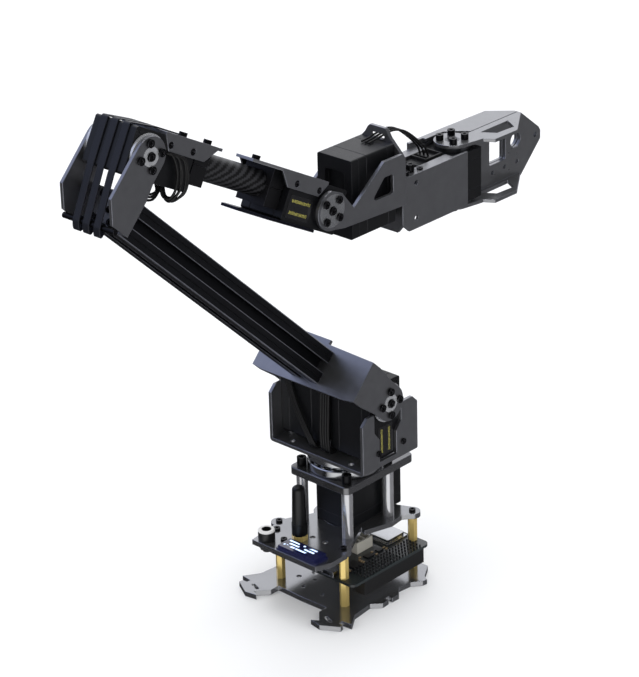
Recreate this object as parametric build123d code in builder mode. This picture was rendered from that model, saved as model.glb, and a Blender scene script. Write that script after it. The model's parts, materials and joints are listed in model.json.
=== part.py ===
"""Desktop robot arm: a controller base, a turning shoulder, a slotted-profile upper arm, a tube forearm,
a pitching and rolling wrist, and a gripper with one moving jaw. Millimetres, +Z up, +X the way the arm
reaches. The origin is on the underside of the base plate, under the axis that the whole arm turns about."""

import os
from math import cos, radians, sin

from build123d import *

os.makedirs("parts", exist_ok=True)

# Fits between pieces
SEAT_GAP = 0.1
RUN_GAP = 0.05
HOLE_GAP = 0.15
SWEEP_GAP = 0.3

# Base stack
BASE_T = 3.0
POST_SPAN_X = 58.0
POST_SPAN_Y = 49.0
POST_FLATS_R = 2.35
POST_BORE_R = 1.15
POST_STUD_R = 1.0
POST_STUD_L = 4.0
LOWER_POST_H = 15.6
BOARD_T = 1.6
BOARD_L = 65.0
BOARD_W = 65.0
BOARD_SHIFT = -2.0
UPPER_POST_H = 15.6
DECK_T = 3.0
COLUMN_SPAN = 34.0
COLUMN_R = 3.25
TOP_PLATE_T = 4.5
TOP_PLATE_L = 56.5
TOP_PLATE_W = 44.0
TOP_PLATE_SHIFT = 5.75

# Servo, the same in every joint: length, width, depth along its shaft, and the shaft's distance from one end
SERVO_L = 45.2
SERVO_W = 24.7
SERVO_D = 29.0
SHAFT_END = 11.35
SHAFT_R = 3.0
SHAFT_DEPTH = 4.0
CASE_EDGE_R = 1.4
CASE_SCREW_INSET = 2.6
CASE_SCREW_R = 1.4
HORN_R = 10.0
HORN_T = 1.8
BOSS_R = 4.0
BOLT_CIRCLE_R = 7.0
HUB_BOLT_R = 5.0
WEB_BOLT_SPAN = 13.0

# Screws: a socket-head size, a tall one, and a small one for flanges
CAP_HEAD_R = 2.2
CAP_HEAD_H = 2.2
CAP_SHANK_R = 1.2
LOW_HEAD_H = 1.3
TALL_HEAD_R = 2.7
TALL_HEAD_H = 5.2
SMALL_HEAD_R = 1.8
SMALL_HEAD_H = 0.8
SMALL_SHANK_R = 0.9

# Turning ring
RING_R = 21.0
RING_BORE_R = 14.0
RACE_H = 4.95
RING_H = 11.9
BALL_R = 1.5
BALL_COUNT = 18
SPINDLE_R = 8.0

# Shoulder bracket
SHEET = 2.0
BRACKET_L = 45.0
BRACKET_W = 70.4
BRACKET_H = 34.0
BRACKET_SHIFT = -0.5
BRACKET_SLOT_W = 14.0
SHOULDER_X = -2.5
FLOOR_GAP = 2.25

# Arm pose at rest and link lengths
UPPER_ANGLE = 136.3
UPPER_REACH = 235.0
ELBOW_OFFSET = 29.0
YOKE_REACH = 30.0
YOKE_HALF = 13.0
PROFILE_W = 20.0
ELBOW_WEB = 12.0
EAR_R = 10.2
FORE_ANGLE = -28.2
FORE_REACH = 145.0
TUBE_R = 7.25
TUBE_WALL = 1.3
TUBE_RISE = 2.5
CLAMP_L = 10.5
CLAMP_W = 20.0
CLAMP_DROP = 8.0
MOUNT_T = 1.6
MOUNT_FLANGE_T = 1.2
MOUNT_DROP = 7.4
BAND_COUNT = 3
BAND_PITCH = 8.0
BAND_W = 4.6
BAND_T = 0.8

# Leads: a single one, and a bundle in its sleeve
LEAD_R = 0.55
BUNDLE_R = 1.0
LEAD_BEND_R = 1.6

# Wrist and gripper
WRIST_EAR_R = 11.0
ROLL_DROP = 14.3
YOKE_WEB_X = 58.6
ROLL_COVER_T = 5.6
GRIP_GAP = 2.0
GRIP_SHEET = 1.6
GRIP_SERVO_START = 22.4
GRIP_SERVO_DROP = 18.5
GRIP_SIDE_L = 55.0
GRIP_BACK_H = 24.0
JAW_HORN_T = 2.7
JAW_EAR_R = 10.5
JAW_REACH = 75.9
JAW_GAP = 0.3
JAW_WEB_START = 16.9
JAW_HOLE_R = 1.6

# Heights and places that follow from the sizes above
board_z = BASE_T + LOWER_POST_H
board_top = board_z + BOARD_T
deck_z = board_top + UPPER_POST_H
deck_top = deck_z + DECK_T
column_h = SERVO_D + 2 * SEAT_GAP
plate_z = deck_top + column_h
plate_top = plate_z + TOP_PLATE_T
bracket_z = plate_top + RING_H
servo_mid = SERVO_L / 2 - SHAFT_END
servo_back = SERVO_L - SHAFT_END
shoulder_z = bracket_z + SHEET + FLOOR_GAP + servo_back
ear_inner = SERVO_D / 2 + HORN_T
ear_outer = ear_inner + SHEET
flange_inner = BRACKET_W / 2 - SHEET
shoulder_ear = BRACKET_W / 2 + SWEEP_GAP
shoulder_outer = shoulder_ear + SHEET
profile_l = UPPER_REACH - ELBOW_WEB - YOKE_REACH


def link_plane(x, z, angle):
    """The arm's middle plane at (x, z): its x along the link, its y across it, its z towards -Y."""
    turn = radians(angle)
    return Plane(origin=(x, 0, z), x_dir=(cos(turn), 0, sin(turn)), z_dir=(0, -1, 0))


def end_plane(plane, along, across=0.0):
    """The plane square to a link at a distance along it: its x to +Y, its z along the link."""
    spot = plane.origin + plane.x_dir * along + plane.y_dir * across
    return Plane(origin=spot, x_dir=(0, 1, 0), z_dir=plane.x_dir)


def face_plane(plane, along, across, way=1):
    """The plane along a link's upper (way 1) or lower (way -1) edge: its x along the link."""
    spot = plane.origin + plane.x_dir * along + plane.y_dir * across
    return Plane(origin=spot, x_dir=plane.x_dir, z_dir=plane.y_dir * way)


def side_plane(plane, out, way):
    """The plane on a link's flank, at a distance out from the middle: way 1 is the -Y side."""
    return Plane(origin=plane.origin - Vector(0, way * out, 0), x_dir=plane.x_dir, z_dir=(0, -way, 0))


upper = link_plane(SHOULDER_X, shoulder_z, UPPER_ANGLE)
elbow_spot = upper.origin + upper.x_dir * UPPER_REACH - upper.y_dir * ELBOW_OFFSET
fore = link_plane(elbow_spot.X, elbow_spot.Z, FORE_ANGLE)
elbow_upper = link_plane(elbow_spot.X, elbow_spot.Z, UPPER_ANGLE)
wrist_spot = fore.origin + fore.x_dir * FORE_REACH
hand = link_plane(wrist_spot.X, wrist_spot.Z, 0)
wrist_back = link_plane(wrist_spot.X, wrist_spot.Z, FORE_ANGLE + 180)
roll_z = wrist_spot.Z - ROLL_DROP
web_x = wrist_spot.X + YOKE_WEB_X
grip_x = web_x + GRIP_GAP
jaw_x = grip_x + SHEET + GRIP_SERVO_START + servo_back
grip_bottom = roll_z - GRIP_SERVO_DROP
grip_mid = grip_bottom + SERVO_D / 2
grip_half = SERVO_W / 2 + SEAT_GAP
jaw_top = grip_bottom + SERVO_D + JAW_HORN_T
jaw_low = grip_bottom - JAW_HORN_T


def keep(builder, name):
    """Label a finished piece and write its file."""
    builder.part.label = name
    export_step(builder.part, f"parts/{name}.step")


def ring_points(radius, count, start=0.0):
    """Evenly spaced points on a circle about the origin."""
    turns = [radians(start + 360 * i / count) for i in range(count)]
    return [(radius * cos(turn), radius * sin(turn)) for turn in turns]


def rect_points(span_x, span_y):
    """The four corners of a rectangle about the origin."""
    return [(i * span_x / 2, j * span_y / 2) for i in (-1, 1) for j in (-1, 1)]


horn_bolts = ring_points(BOLT_CIRCLE_R, 4, 45)
hub_bolts = ring_points(HUB_BOLT_R, 4, 45)
case_bolts = rect_points(SERVO_L - 2 * CASE_SCREW_INSET, SERVO_W - 2 * CASE_SCREW_INSET)
case_spots = [(servo_mid + x, y) for x, y in case_bolts]
post_points = rect_points(POST_SPAN_X, POST_SPAN_Y)
column_points = rect_points(COLUMN_SPAN, COLUMN_SPAN)
web_bolts = rect_points(WEB_BOLT_SPAN, WEB_BOLT_SPAN)


def servo(name, plane, far_shaft=True, sockets=True):
    """A servo about its shaft: the plane's origin is mid-depth on the shaft, and its x runs down the case.
    The case has a seam near each face, a flush screw at each corner, and lead sockets in its tail."""
    seam, seam_in = 0.4, 6.0
    socket_l, socket_w, socket_deep = 8.4, 6.0, 2.6
    screw_ring, screw_deep = 0.3, 0.5
    with BuildPart() as case:
        with BuildSketch(plane.offset(-SERVO_D / 2)):
            with Locations((servo_mid, 0)):
                RectangleRounded(SERVO_L, SERVO_W, CASE_EDGE_R)
        extrude(amount=SERVO_D)
        for level in (SERVO_D / 2 - seam_in, seam_in - SERVO_D / 2):
            with BuildSketch(plane.offset(level)):
                with Locations((servo_mid, 0)):
                    Rectangle(SERVO_L + seam, SERVO_W + seam)
                    RectangleRounded(SERVO_L - seam, SERVO_W - seam, CASE_EDGE_R, mode=Mode.SUBTRACT)
            extrude(amount=seam, mode=Mode.SUBTRACT)
        for way in (1, -1) if far_shaft else (1,):
            with BuildSketch(plane.offset(way * SERVO_D / 2)):
                Circle(SHAFT_R + RUN_GAP)
            extrude(amount=-way * SHAFT_DEPTH, mode=Mode.SUBTRACT)
        for way in (1, -1):
            with BuildSketch(plane.offset(way * SERVO_D / 2)):
                with Locations(*case_spots):
                    Circle(CASE_SCREW_R + screw_ring)
                    Circle(CASE_SCREW_R, mode=Mode.SUBTRACT)
                    RegularPolygon(CASE_SCREW_R * 0.5, 6)
            extrude(amount=-way * screw_deep, mode=Mode.SUBTRACT)
        tail = Plane(
            origin=plane.origin + plane.x_dir * servo_back, x_dir=plane.y_dir, z_dir=plane.x_dir
        )
        if sockets:
            with BuildSketch(tail):
                with GridLocations(0, 1.4 * socket_l, 1, 2):
                    Rectangle(socket_w, socket_l)
            extrude(amount=-socket_deep, mode=Mode.SUBTRACT)
    keep(case, name)


def horns(name, plane, face, reach):
    """A joint's two output discs. Each stands on its servo's face, with its stub in the shaft bore, a ring
    of holes for the ear's screws, and a boss that the ear's hole fits round."""
    with BuildPart() as discs:
        for way in (1, -1):
            with BuildSketch(plane.offset(way * (face + SEAT_GAP))):
                Circle(HORN_R)
                with Locations(*horn_bolts):
                    Circle(CAP_SHANK_R + HOLE_GAP, mode=Mode.SUBTRACT)
            extrude(amount=way * (reach - SEAT_GAP))
            with BuildSketch(plane.offset(way * (face + reach))):
                Circle(BOSS_R)
            extrude(amount=way * SHEET)
            with BuildSketch(plane.offset(way * (face + SEAT_GAP))):
                Circle(SHAFT_R)
            extrude(amount=-way * (SHAFT_DEPTH - SEAT_GAP))
            with BuildSketch(plane.offset(way * (face + reach + SHEET))):
                Circle(CAP_SHANK_R + HOLE_GAP)
            extrude(amount=-way * (reach + SHEET), mode=Mode.SUBTRACT)
    keep(discs, name)


def screws(name, seats):
    """Socket-head screws. A seat is (plane at the head's underside, points, head radius, head height,
    shank radius, shank length). The head stands along the plane's normal, the shank goes the other way."""
    with BuildPart() as group:
        for plane, points, head_r, head_h, shank_r, shank_l in seats:
            with BuildSketch(plane):
                with Locations(*points):
                    Circle(head_r)
            extrude(amount=head_h)
            if shank_l:
                with BuildSketch(plane):
                    with Locations(*points):
                        Circle(shank_r)
                extrude(amount=-shank_l)
            with BuildSketch(plane.offset(head_h)):
                with Locations(*points):
                    RegularPolygon(head_r * 0.55, 6)
            extrude(amount=-head_h * 0.6, mode=Mode.SUBTRACT)
    keep(group, name)


def cap(plane, points, shank_l, head_h=CAP_HEAD_H):
    """A seat for socket-head screws of the usual size."""
    return plane, points, CAP_HEAD_R, head_h, CAP_SHANK_R, shank_l


def small(plane, points, shank_l, head_h=SMALL_HEAD_H):
    """A seat for small low-head screws."""
    return plane, points, SMALL_HEAD_R, head_h, SMALL_SHANK_R, shank_l


def horn_seats(plane, outer, grip, head_h=LOW_HEAD_H):
    """Seats for the four screws and the centre screw on each of a joint's two ears."""
    seats = []
    for way in (1, -1):
        seats.append(cap(side_plane(plane, outer, way), horn_bolts + [(0, 0)], grip, head_h))
    return seats


# Base plate: a notched sheet with a lobe at each corner, symmetrical about the arm's middle plane
plate_edge = [
    (-38, 0), (-37.5, -18.5), (-43.7, -18.5), (-50.7, -25), (-53, -20.9), (-54.3, -28.5), (-48.3, -39),
    (-45.8, -38.3), (-45.8, -35.5), (-43.2, -35), (-42.4, -42), (-33.6, -36.1), (-19.2, -34.6), (-14, -39.7),
    (-8.8, -39.3), (-8.8, -36.7), (-5.9, -36.7), (-5.9, -39.6), (-0.6, -39.8), (5.1, -34.8), (13.7, -35.9),
    (19.3, -40.4), (22.3, -40.9), (24.4, -37.3), (34.5, -31), (34.7, -20), (38, -14), (38, 0),
]
foot_hole_r = 1.6
foot_span_x, foot_span_y = 44.0, 34.0
with BuildPart() as base_plate:
    with BuildSketch():
        with BuildLine():
            Polyline(*plate_edge, close=True)
        make_face()
        mirror(about=Plane.XZ)
        with Locations(*post_points):
            Circle(POST_STUD_R + HOLE_GAP, mode=Mode.SUBTRACT)
        with GridLocations(foot_span_x, foot_span_y, 2, 2):
            Circle(foot_hole_r, mode=Mode.SUBTRACT)
        with Locations((-46.5, -28), (-46.5, 28)):
            SlotOverall(7, 2.2, rotation=70, mode=Mode.SUBTRACT)
        with Locations((-12.5, 12.8)):
            Circle(2.3, mode=Mode.SUBTRACT)
        with Locations((-29, 7.2), (-19.2, 7.2), (-29, -7.2)):
            Circle(1.1, mode=Mode.SUBTRACT)
    extrude(amount=BASE_T)
keep(base_plate, "base_plate")

# Brass posts: each set has a stud that goes down through the sheet below it
for name, low, height, stud_l in (
    ("lower_posts", BASE_T, LOWER_POST_H, BASE_T),
    ("upper_posts", board_top, UPPER_POST_H, BOARD_T + POST_STUD_L),
):
    with BuildPart() as posts:
        with BuildSketch(Plane.XY.offset(low)):
            with Locations(*post_points):
                RegularPolygon(POST_FLATS_R, 6, major_radius=False)
        extrude(amount=height)
        with BuildSketch(Plane.XY.offset(low + height)):
            with Locations(*post_points):
                Circle(POST_BORE_R)
        extrude(amount=-1.5 * POST_STUD_L, mode=Mode.SUBTRACT)
        with BuildSketch(Plane.XY.offset(low)):
            with Locations(*post_points):
                Circle(POST_STUD_R)
        extrude(amount=-stud_l)
    keep(posts, name)

# Controller board with a hole round each post's stud
with BuildPart() as board:
    with BuildSketch(Plane.XY.offset(board_z)):
        with Locations((0, BOARD_SHIFT)):
            RectangleRounded(BOARD_L, BOARD_W, 3.5)
        with Locations(*post_points):
            Circle(POST_STUD_R + HOLE_GAP, mode=Mode.SUBTRACT)
    extrude(amount=BOARD_T)
keep(board, "controller_board")

# Two-row header block under the board's front edge
header_l, header_w, header_h = 50.0, 8.4, 8.6
header_spot = (2, BOARD_SHIFT - BOARD_W / 2 + header_w / 2)
pin_pitch, pin_count, pin_w = 2.45, 20, 1.1
with BuildPart() as header:
    with BuildSketch(Plane.XY.offset(board_z)):
        with Locations(header_spot):
            Rectangle(header_l, header_w)
    extrude(amount=-header_h)
    with BuildSketch(Plane.XY.offset(board_z - header_h)):
        with Locations(header_spot):
            with GridLocations(pin_pitch, pin_pitch, pin_count, 2):
                Rectangle(pin_w, pin_w)
    extrude(amount=header_h / 2, mode=Mode.SUBTRACT)
keep(header, "pin_header")

# Wire sockets on the board, open at the top
socket_spots = [(2, -11.5), (2, -3.5)]
socket_l, socket_w, socket_h, socket_wall = 22.0, 6.0, 7.5, 0.9
with BuildPart() as sockets:
    with BuildSketch(Plane.XY.offset(board_top)):
        with Locations(*socket_spots):
            Rectangle(socket_l, socket_w)
    extrude(amount=socket_h)
    with BuildSketch(Plane.XY.offset(board_top + socket_h)):
        with Locations(*socket_spots):
            with GridLocations(socket_l / 3, 0, 3, 1):
                Rectangle(socket_l / 3 - 2 * socket_wall, socket_w - 2 * socket_wall)
    extrude(amount=-socket_h + 1.5, mode=Mode.SUBTRACT)
keep(sockets, "wire_sockets")

# Metal-cased data port at the board's edge
port_l, port_w, port_h, port_wall, port_y = 8.0, 9.0, 3.4, 0.5, -15.5
port_x = -BOARD_L / 2 - 0.5
with BuildPart() as port:
    with BuildSketch(Plane.XY.offset(board_top)):
        with Locations((port_x + port_l / 2, port_y)):
            Rectangle(port_l, port_w)
    extrude(amount=port_h)
    with BuildSketch(Plane.YZ.offset(port_x)):
        with Locations((port_y, board_top + port_h / 2)):
            SlotOverall(port_w - 2 * port_wall, port_h - 2 * port_wall)
    extrude(amount=port_l - 1.5, mode=Mode.SUBTRACT)
keep(port, "data_port")

# Shielded radio module
radio_spot, radio_w, radio_can_w = (21.8, -11.3), 16.5, 14.2
with BuildPart() as radio:
    with BuildSketch(Plane.XY.offset(board_top)):
        with Locations(radio_spot):
            Rectangle(radio_w, radio_w)
    extrude(amount=0.9)
    with BuildSketch(Plane.XY.offset(board_top + 0.9)):
        with Locations(radio_spot):
            RectangleRounded(radio_can_w, radio_can_w, 1)
    extrude(amount=2.1)
keep(radio, "radio_module")

# Deck: carries the columns, the display and the antenna, and has a lobe out to each post
deck_edge = [
    (-54, -26.5), (-44.8, -30.2), (-32.4, -29.9), (-4.2, -15.5), (-5.7, -19.5), (11.5, -24.7), (20.8, -23.6),
    (26.5, -28), (33, -22.5), (29, -13.4), (29, 13.4), (33, 22.5), (26.5, 28), (20.8, 23.6), (11.5, 24.7),
    (-5.7, 19.5), (-8.7, 16.2), (-25, 24.5), (-33.7, 24), (-54, 21.5),
]
deck_lobe_r = 4.6
deck_ring_r = 13.0
antenna_spot = (-36.0, 2.0)
antenna_stud_r = 2.0
knob_spot = (-48.0, 16.0)
knob_stud_r = 2.5
display_spot = (-48.1, -11.0)
deck_screw_spots = [(-43.0, 7.5), (-36.5, 19.0)]
with BuildPart() as deck:
    with BuildSketch(Plane.XY.offset(deck_z)):
        with BuildLine():
            Polyline(*deck_edge, close=True)
        make_face()
        with Locations(*post_points):
            Circle(deck_lobe_r)
        with Locations(*post_points, *deck_screw_spots):
            Circle(POST_STUD_R + HOLE_GAP, mode=Mode.SUBTRACT)
        Circle(deck_ring_r, mode=Mode.SUBTRACT)
        with Locations(*column_points):
            Circle(CAP_SHANK_R + HOLE_GAP, mode=Mode.SUBTRACT)
        with Locations(antenna_spot):
            Circle(antenna_stud_r + HOLE_GAP, mode=Mode.SUBTRACT)
        with Locations(knob_spot):
            Circle(knob_stud_r + HOLE_GAP, mode=Mode.SUBTRACT)
        with Locations((-30.3, -2.5), (-30.2, -11.7)):
            Circle(1.6, mode=Mode.SUBTRACT)
    extrude(amount=DECK_T)
keep(deck, "deck_plate")

# Ring round the base servo's far bearing, set in the deck's opening
with BuildPart() as deck_ring:
    with BuildSketch(Plane.XY.offset(deck_z)):
        Circle(deck_ring_r)
        Circle(HORN_R, mode=Mode.SUBTRACT)
    extrude(amount=DECK_T)
keep(deck_ring, "deck_ring")

# Screws that hold the deck on its posts, and two more on the deck
deck_head_r, deck_head_h = 1.9, 1.2
screws("deck_screws", [
    (Plane.XY.offset(deck_top), post_points + deck_screw_spots, deck_head_r, deck_head_h, POST_STUD_R,
     DECK_T + POST_STUD_L)
])

# Steel columns between the deck and the top plate, with tall screws above and low ones below
column_bore_r = CAP_SHANK_R + HOLE_GAP
column_grip = 7.0
with BuildPart() as columns:
    with BuildSketch(Plane.XY.offset(deck_top)):
        with Locations(*column_points):
            Circle(COLUMN_R)
            Circle(column_bore_r, mode=Mode.SUBTRACT)
    extrude(amount=column_h)
keep(columns, "steel_columns")
deck_under = Plane(origin=(0, 0, deck_z), x_dir=(1, 0, 0), z_dir=(0, 0, -1))
screws("column_screws", [
    (Plane.XY.offset(plate_top), column_points, TALL_HEAD_R, TALL_HEAD_H, CAP_SHANK_R,
     TOP_PLATE_T + column_grip),
    cap(deck_under, column_points, DECK_T + column_grip),
])

# Display module lying along the deck's edge
display_w, display_l, display_board_t, display_glass_t = 10.8, 30.0, 1.2, 1.9
with BuildPart() as display:
    with BuildSketch(Plane.XY.offset(deck_top)):
        with Locations(display_spot):
            RectangleRounded(display_w, display_l, 0.8)
    extrude(amount=display_board_t)
    with BuildSketch(Plane.XY.offset(deck_top + display_board_t)):
        with Locations(display_spot):
            Rectangle(display_w - 0.8, display_l - 3)
    extrude(amount=display_glass_t)
keep(display, "display_module")

# Antenna: a rubber sleeve with a rounded top, on a brass socket clamped through the deck
nut_h, nut_flats_r, nut_below_r, nut_below_h = 3.2, 4.0, 3.2, 2.0
antenna_h, antenna_foot_r, antenna_tip_r, antenna_foot_h = 30.0, 4.4, 3.5, 7.0
with BuildPart() as nut:
    with BuildSketch(Plane.XY.offset(deck_top)):
        with Locations(antenna_spot):
            RegularPolygon(nut_flats_r, 6, major_radius=False)
    extrude(amount=nut_h)
    with BuildSketch(Plane.XY.offset(deck_top)):
        with Locations(antenna_spot):
            Circle(antenna_stud_r)
    extrude(amount=-(DECK_T + 2 * nut_below_h))
    with BuildSketch(Plane.XY.offset(deck_z)):
        with Locations(antenna_spot):
            RegularPolygon(nut_below_r, 6, major_radius=False)
    extrude(amount=-nut_below_h)
keep(nut, "antenna_socket")
antenna_z = deck_top + nut_h
with BuildPart() as antenna:
    with BuildSketch(Plane.XY.offset(antenna_z)):
        with Locations(antenna_spot):
            Circle(antenna_foot_r)
    extrude(amount=antenna_foot_h)
    with BuildSketch(Plane.XY.offset(antenna_z + antenna_foot_h)):
        with Locations(antenna_spot):
            Circle(antenna_foot_r - 0.3)
    with BuildSketch(Plane.XY.offset(antenna_z + antenna_h)):
        with Locations(antenna_spot):
            Circle(antenna_tip_r)
    loft()
    fillet(antenna.edges().group_by(Axis.Z)[-1], antenna_tip_r * 0.7)
keep(antenna, "antenna")

# Corner knob: a capped socket with a hex recess, its stud through the deck and a nut below
knob_r, knob_h, knob_hex_r, knob_nut_r, knob_nut_h = 4.8, 6.2, 2.7, 4.0, 2.4
with BuildPart() as knob:
    with BuildSketch(Plane.XY.offset(deck_top)):
        with Locations(knob_spot):
            Circle(knob_r)
    extrude(amount=knob_h)
    chamfer(knob.edges().group_by(Axis.Z)[-1], 0.5)
    with BuildSketch(Plane.XY.offset(deck_top + knob_h)):
        with Locations(knob_spot):
            RegularPolygon(knob_hex_r, 6)
    extrude(amount=-0.6 * knob_h, mode=Mode.SUBTRACT)
    with BuildSketch(Plane.XY.offset(deck_top)):
        with Locations(knob_spot):
            Circle(knob_stud_r)
    extrude(amount=-(DECK_T + 1.8 * knob_nut_h))
    with BuildSketch(Plane.XY.offset(deck_z)):
        with Locations(knob_spot):
            RegularPolygon(knob_nut_r, 6, major_radius=False)
    extrude(amount=-knob_nut_h)
keep(knob, "corner_knob")

# Base servo, upright between the deck and the top plate
servo("base_servo", Plane.XY.offset(deck_top + SEAT_GAP + SERVO_D / 2), False)

# Top plate: the turning ring stands on it and the base servo is screwed up against it
plate_corner_r = 3.5
with BuildPart() as top_plate:
    with BuildSketch(Plane.XY.offset(plate_z)):
        with Locations((TOP_PLATE_SHIFT, 0)):
            RectangleRounded(TOP_PLATE_L, TOP_PLATE_W, plate_corner_r)
        Circle(HORN_R + 1.0, mode=Mode.SUBTRACT)
        with Locations(*column_points):
            Circle(column_bore_r, mode=Mode.SUBTRACT)
    extrude(amount=TOP_PLATE_T)
    chamfer(top_plate.faces().sort_by(Axis.Z)[-1].outer_wire().edges(), 0.4)
keep(top_plate, "top_plate")

# Turning ring: a lower race on the top plate, balls in it, and an upper race under the bracket
ball_ring_r = (RING_R + RING_BORE_R) / 2
ball_z = plate_top + RING_H / 2
race_edge = 0.5
for name, low, groove_r in (
    ("lower_race", plate_top, BALL_R + SEAT_GAP), ("upper_race", bracket_z - RACE_H, BALL_R + SWEEP_GAP)
):
    with BuildPart() as race:
        with BuildSketch(Plane.XY.offset(low)):
            Circle(RING_R)
            Circle(RING_BORE_R, mode=Mode.SUBTRACT)
        extrude(amount=RACE_H)
        chamfer(race.edges().filter_by(GeomType.CIRCLE), race_edge)
        with BuildSketch(Plane.XZ):
            with Locations((ball_ring_r, ball_z)):
                Circle(groove_r)
        revolve(axis=Axis.Z, mode=Mode.SUBTRACT)
    keep(race, name)
with BuildPart() as balls:
    with Locations(*[(x, y, ball_z) for x, y in ring_points(ball_ring_r, BALL_COUNT)]):
        Sphere(BALL_R)
keep(balls, "ring_balls")

# Drive hub: the base servo's output disc and the spindle that turns the bracket
hub_tap, hub_grip, hub_head_h = 7.0, 5.0, 1.7
with BuildPart() as drive_hub:
    with BuildSketch(Plane.XY.offset(plate_z)):
        Circle(HORN_R)
    extrude(amount=HORN_T)
    with BuildSketch(Plane.XY.offset(plate_z)):
        Circle(SPINDLE_R)
    extrude(amount=bracket_z - plate_z)
    with BuildSketch(Plane.XY.offset(plate_z)):
        Circle(SHAFT_R)
    extrude(amount=-(SHAFT_DEPTH - SEAT_GAP))
    with BuildSketch(Plane.XY.offset(bracket_z)):
        with Locations(*hub_bolts):
            Circle(CAP_SHANK_R + HOLE_GAP)
    extrude(amount=-hub_tap, mode=Mode.SUBTRACT)
keep(drive_hub, "drive_hub")

# Shoulder bracket: a channel with a slot down each flange that widens at the top round the horn
slot_low, slot_turn, slot_flare = 4.0, 23.0, 5.0
slot_mouth = 2 * (HORN_R + 1.0)
tip_cut, bend_r = 4.0, 1.8
flange_screw_z = bracket_z + 9.6
flange_screws = [(BRACKET_SHIFT - 9.9, flange_screw_z), (BRACKET_SHIFT + 10.4, flange_screw_z)]
with BuildPart() as bracket:
    with BuildSketch(Plane.XY.offset(bracket_z)):
        with Locations((BRACKET_SHIFT, 0)):
            Rectangle(BRACKET_L, BRACKET_W)
            with GridLocations(36, 44, 2, 2):
                Circle(1.6, mode=Mode.SUBTRACT)
        with Locations(*hub_bolts):
            Circle(CAP_SHANK_R + HOLE_GAP, mode=Mode.SUBTRACT)
    extrude(amount=SHEET)
    for side in (-1, 1):
        with BuildSketch(Plane.XZ.offset(side * BRACKET_W / 2)):
            with Locations((BRACKET_SHIFT, bracket_z + BRACKET_H / 2)):
                Rectangle(BRACKET_L, BRACKET_H)
            with BuildLine():
                half, mouth = BRACKET_SLOT_W / 2, slot_mouth / 2
                low, turn, top = bracket_z + slot_low, bracket_z + slot_turn, bracket_z + BRACKET_H
                Polyline(
                    (SHOULDER_X - half, low), (SHOULDER_X + half, low),
                    (SHOULDER_X + half, turn - slot_flare),
                    (SHOULDER_X + mouth, turn), (SHOULDER_X + mouth, top), (SHOULDER_X - mouth, top),
                    (SHOULDER_X - mouth, turn), (SHOULDER_X - half, turn - slot_flare), close=True,
                )
            make_face(mode=Mode.SUBTRACT)
            with Locations(*flange_screws):
                Circle(SMALL_SHANK_R + HOLE_GAP, mode=Mode.SUBTRACT)
        extrude(amount=-side * SHEET)
    rims = bracket.edges().filter_by(Axis.Y).group_by(Axis.Z)[-1]
    chamfer([e for e in rims if abs(e.center().X - BRACKET_SHIFT) > BRACKET_L / 2 - 1], tip_cut)
    fillet(bracket.edges().filter_by(Axis.X).group_by(Axis.Z)[0], bend_r)
keep(bracket, "shoulder_bracket")

# Screws of the bracket: four into the hub, and two through each flange
bracket_mid = link_plane(0, 0, 0)
screws("bracket_screws", [
    cap(Plane.XY.offset(bracket_z + SHEET), hub_bolts, hub_grip, hub_head_h),
    small(side_plane(bracket_mid, BRACKET_W / 2, 1), flange_screws, SHEET),
    small(side_plane(bracket_mid, BRACKET_W / 2, -1), [(x, -z) for x, z in flange_screws], SHEET),
])

# Shoulder servos, side by side behind the flanges, hanging from their shafts
for name, side in (("shoulder_servo_right", -1), ("shoulder_servo_left", 1)):
    middle = side * (flange_inner - SEAT_GAP - SERVO_D / 2)
    servo(name, Plane(origin=(SHOULDER_X, middle, shoulder_z), x_dir=(0, 0, -1), z_dir=(0, side, 0)), False)

# Shoulder yoke: a saddle sheet under the profile, and an ear down each side to the horns
ear_root = YOKE_HALF - 1.0
ear_waist = 8.0
lip_drop, lip_split, lip_end = 2.6, 0.12, 0.8
with BuildPart() as shoulder_yoke:
    for side in (-1, 1):
        with BuildSketch(upper.offset(side * shoulder_outer)):
            with BuildLine():
                Polyline(
                    (0, -EAR_R), (ear_waist, -EAR_R), (YOKE_REACH - ear_waist, -ear_root),
                    (YOKE_REACH, -ear_root), (YOKE_REACH, ear_root), (YOKE_REACH - ear_waist, ear_root),
                    (ear_waist, EAR_R), (0, EAR_R),
                )
                ThreePointArc((0, EAR_R), (-EAR_R, 0), (0, -EAR_R))
            make_face()
            with Locations(*horn_bolts):
                Circle(CAP_SHANK_R + HOLE_GAP, mode=Mode.SUBTRACT)
            Circle(BOSS_R + SEAT_GAP, mode=Mode.SUBTRACT)
        extrude(amount=-side * SHEET)
    with BuildSketch(end_plane(upper, YOKE_REACH - SHEET)):
        with BuildLine():
            Polyline(
                (-shoulder_outer, -ear_root), (-shoulder_outer * lip_split, -YOKE_HALF),
                (-shoulder_outer * lip_split, -YOKE_HALF - lip_drop),
                (shoulder_outer * lip_end, -YOKE_HALF - lip_drop), (shoulder_outer, -ear_root),
                (shoulder_outer, ear_root), (shoulder_outer * lip_end, YOKE_HALF),
                (-shoulder_outer * lip_end, YOKE_HALF), (-shoulder_outer, ear_root), close=True,
            )
        make_face()
        with Locations(*web_bolts):
            Circle(CAP_SHANK_R + HOLE_GAP, mode=Mode.SUBTRACT)
        Circle(2.1, mode=Mode.SUBTRACT)
    extrude(amount=SHEET)
keep(shoulder_yoke, "shoulder_yoke")
horns("shoulder_horns", upper, flange_inner - SEAT_GAP, shoulder_ear - flange_inner + SEAT_GAP)

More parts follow.
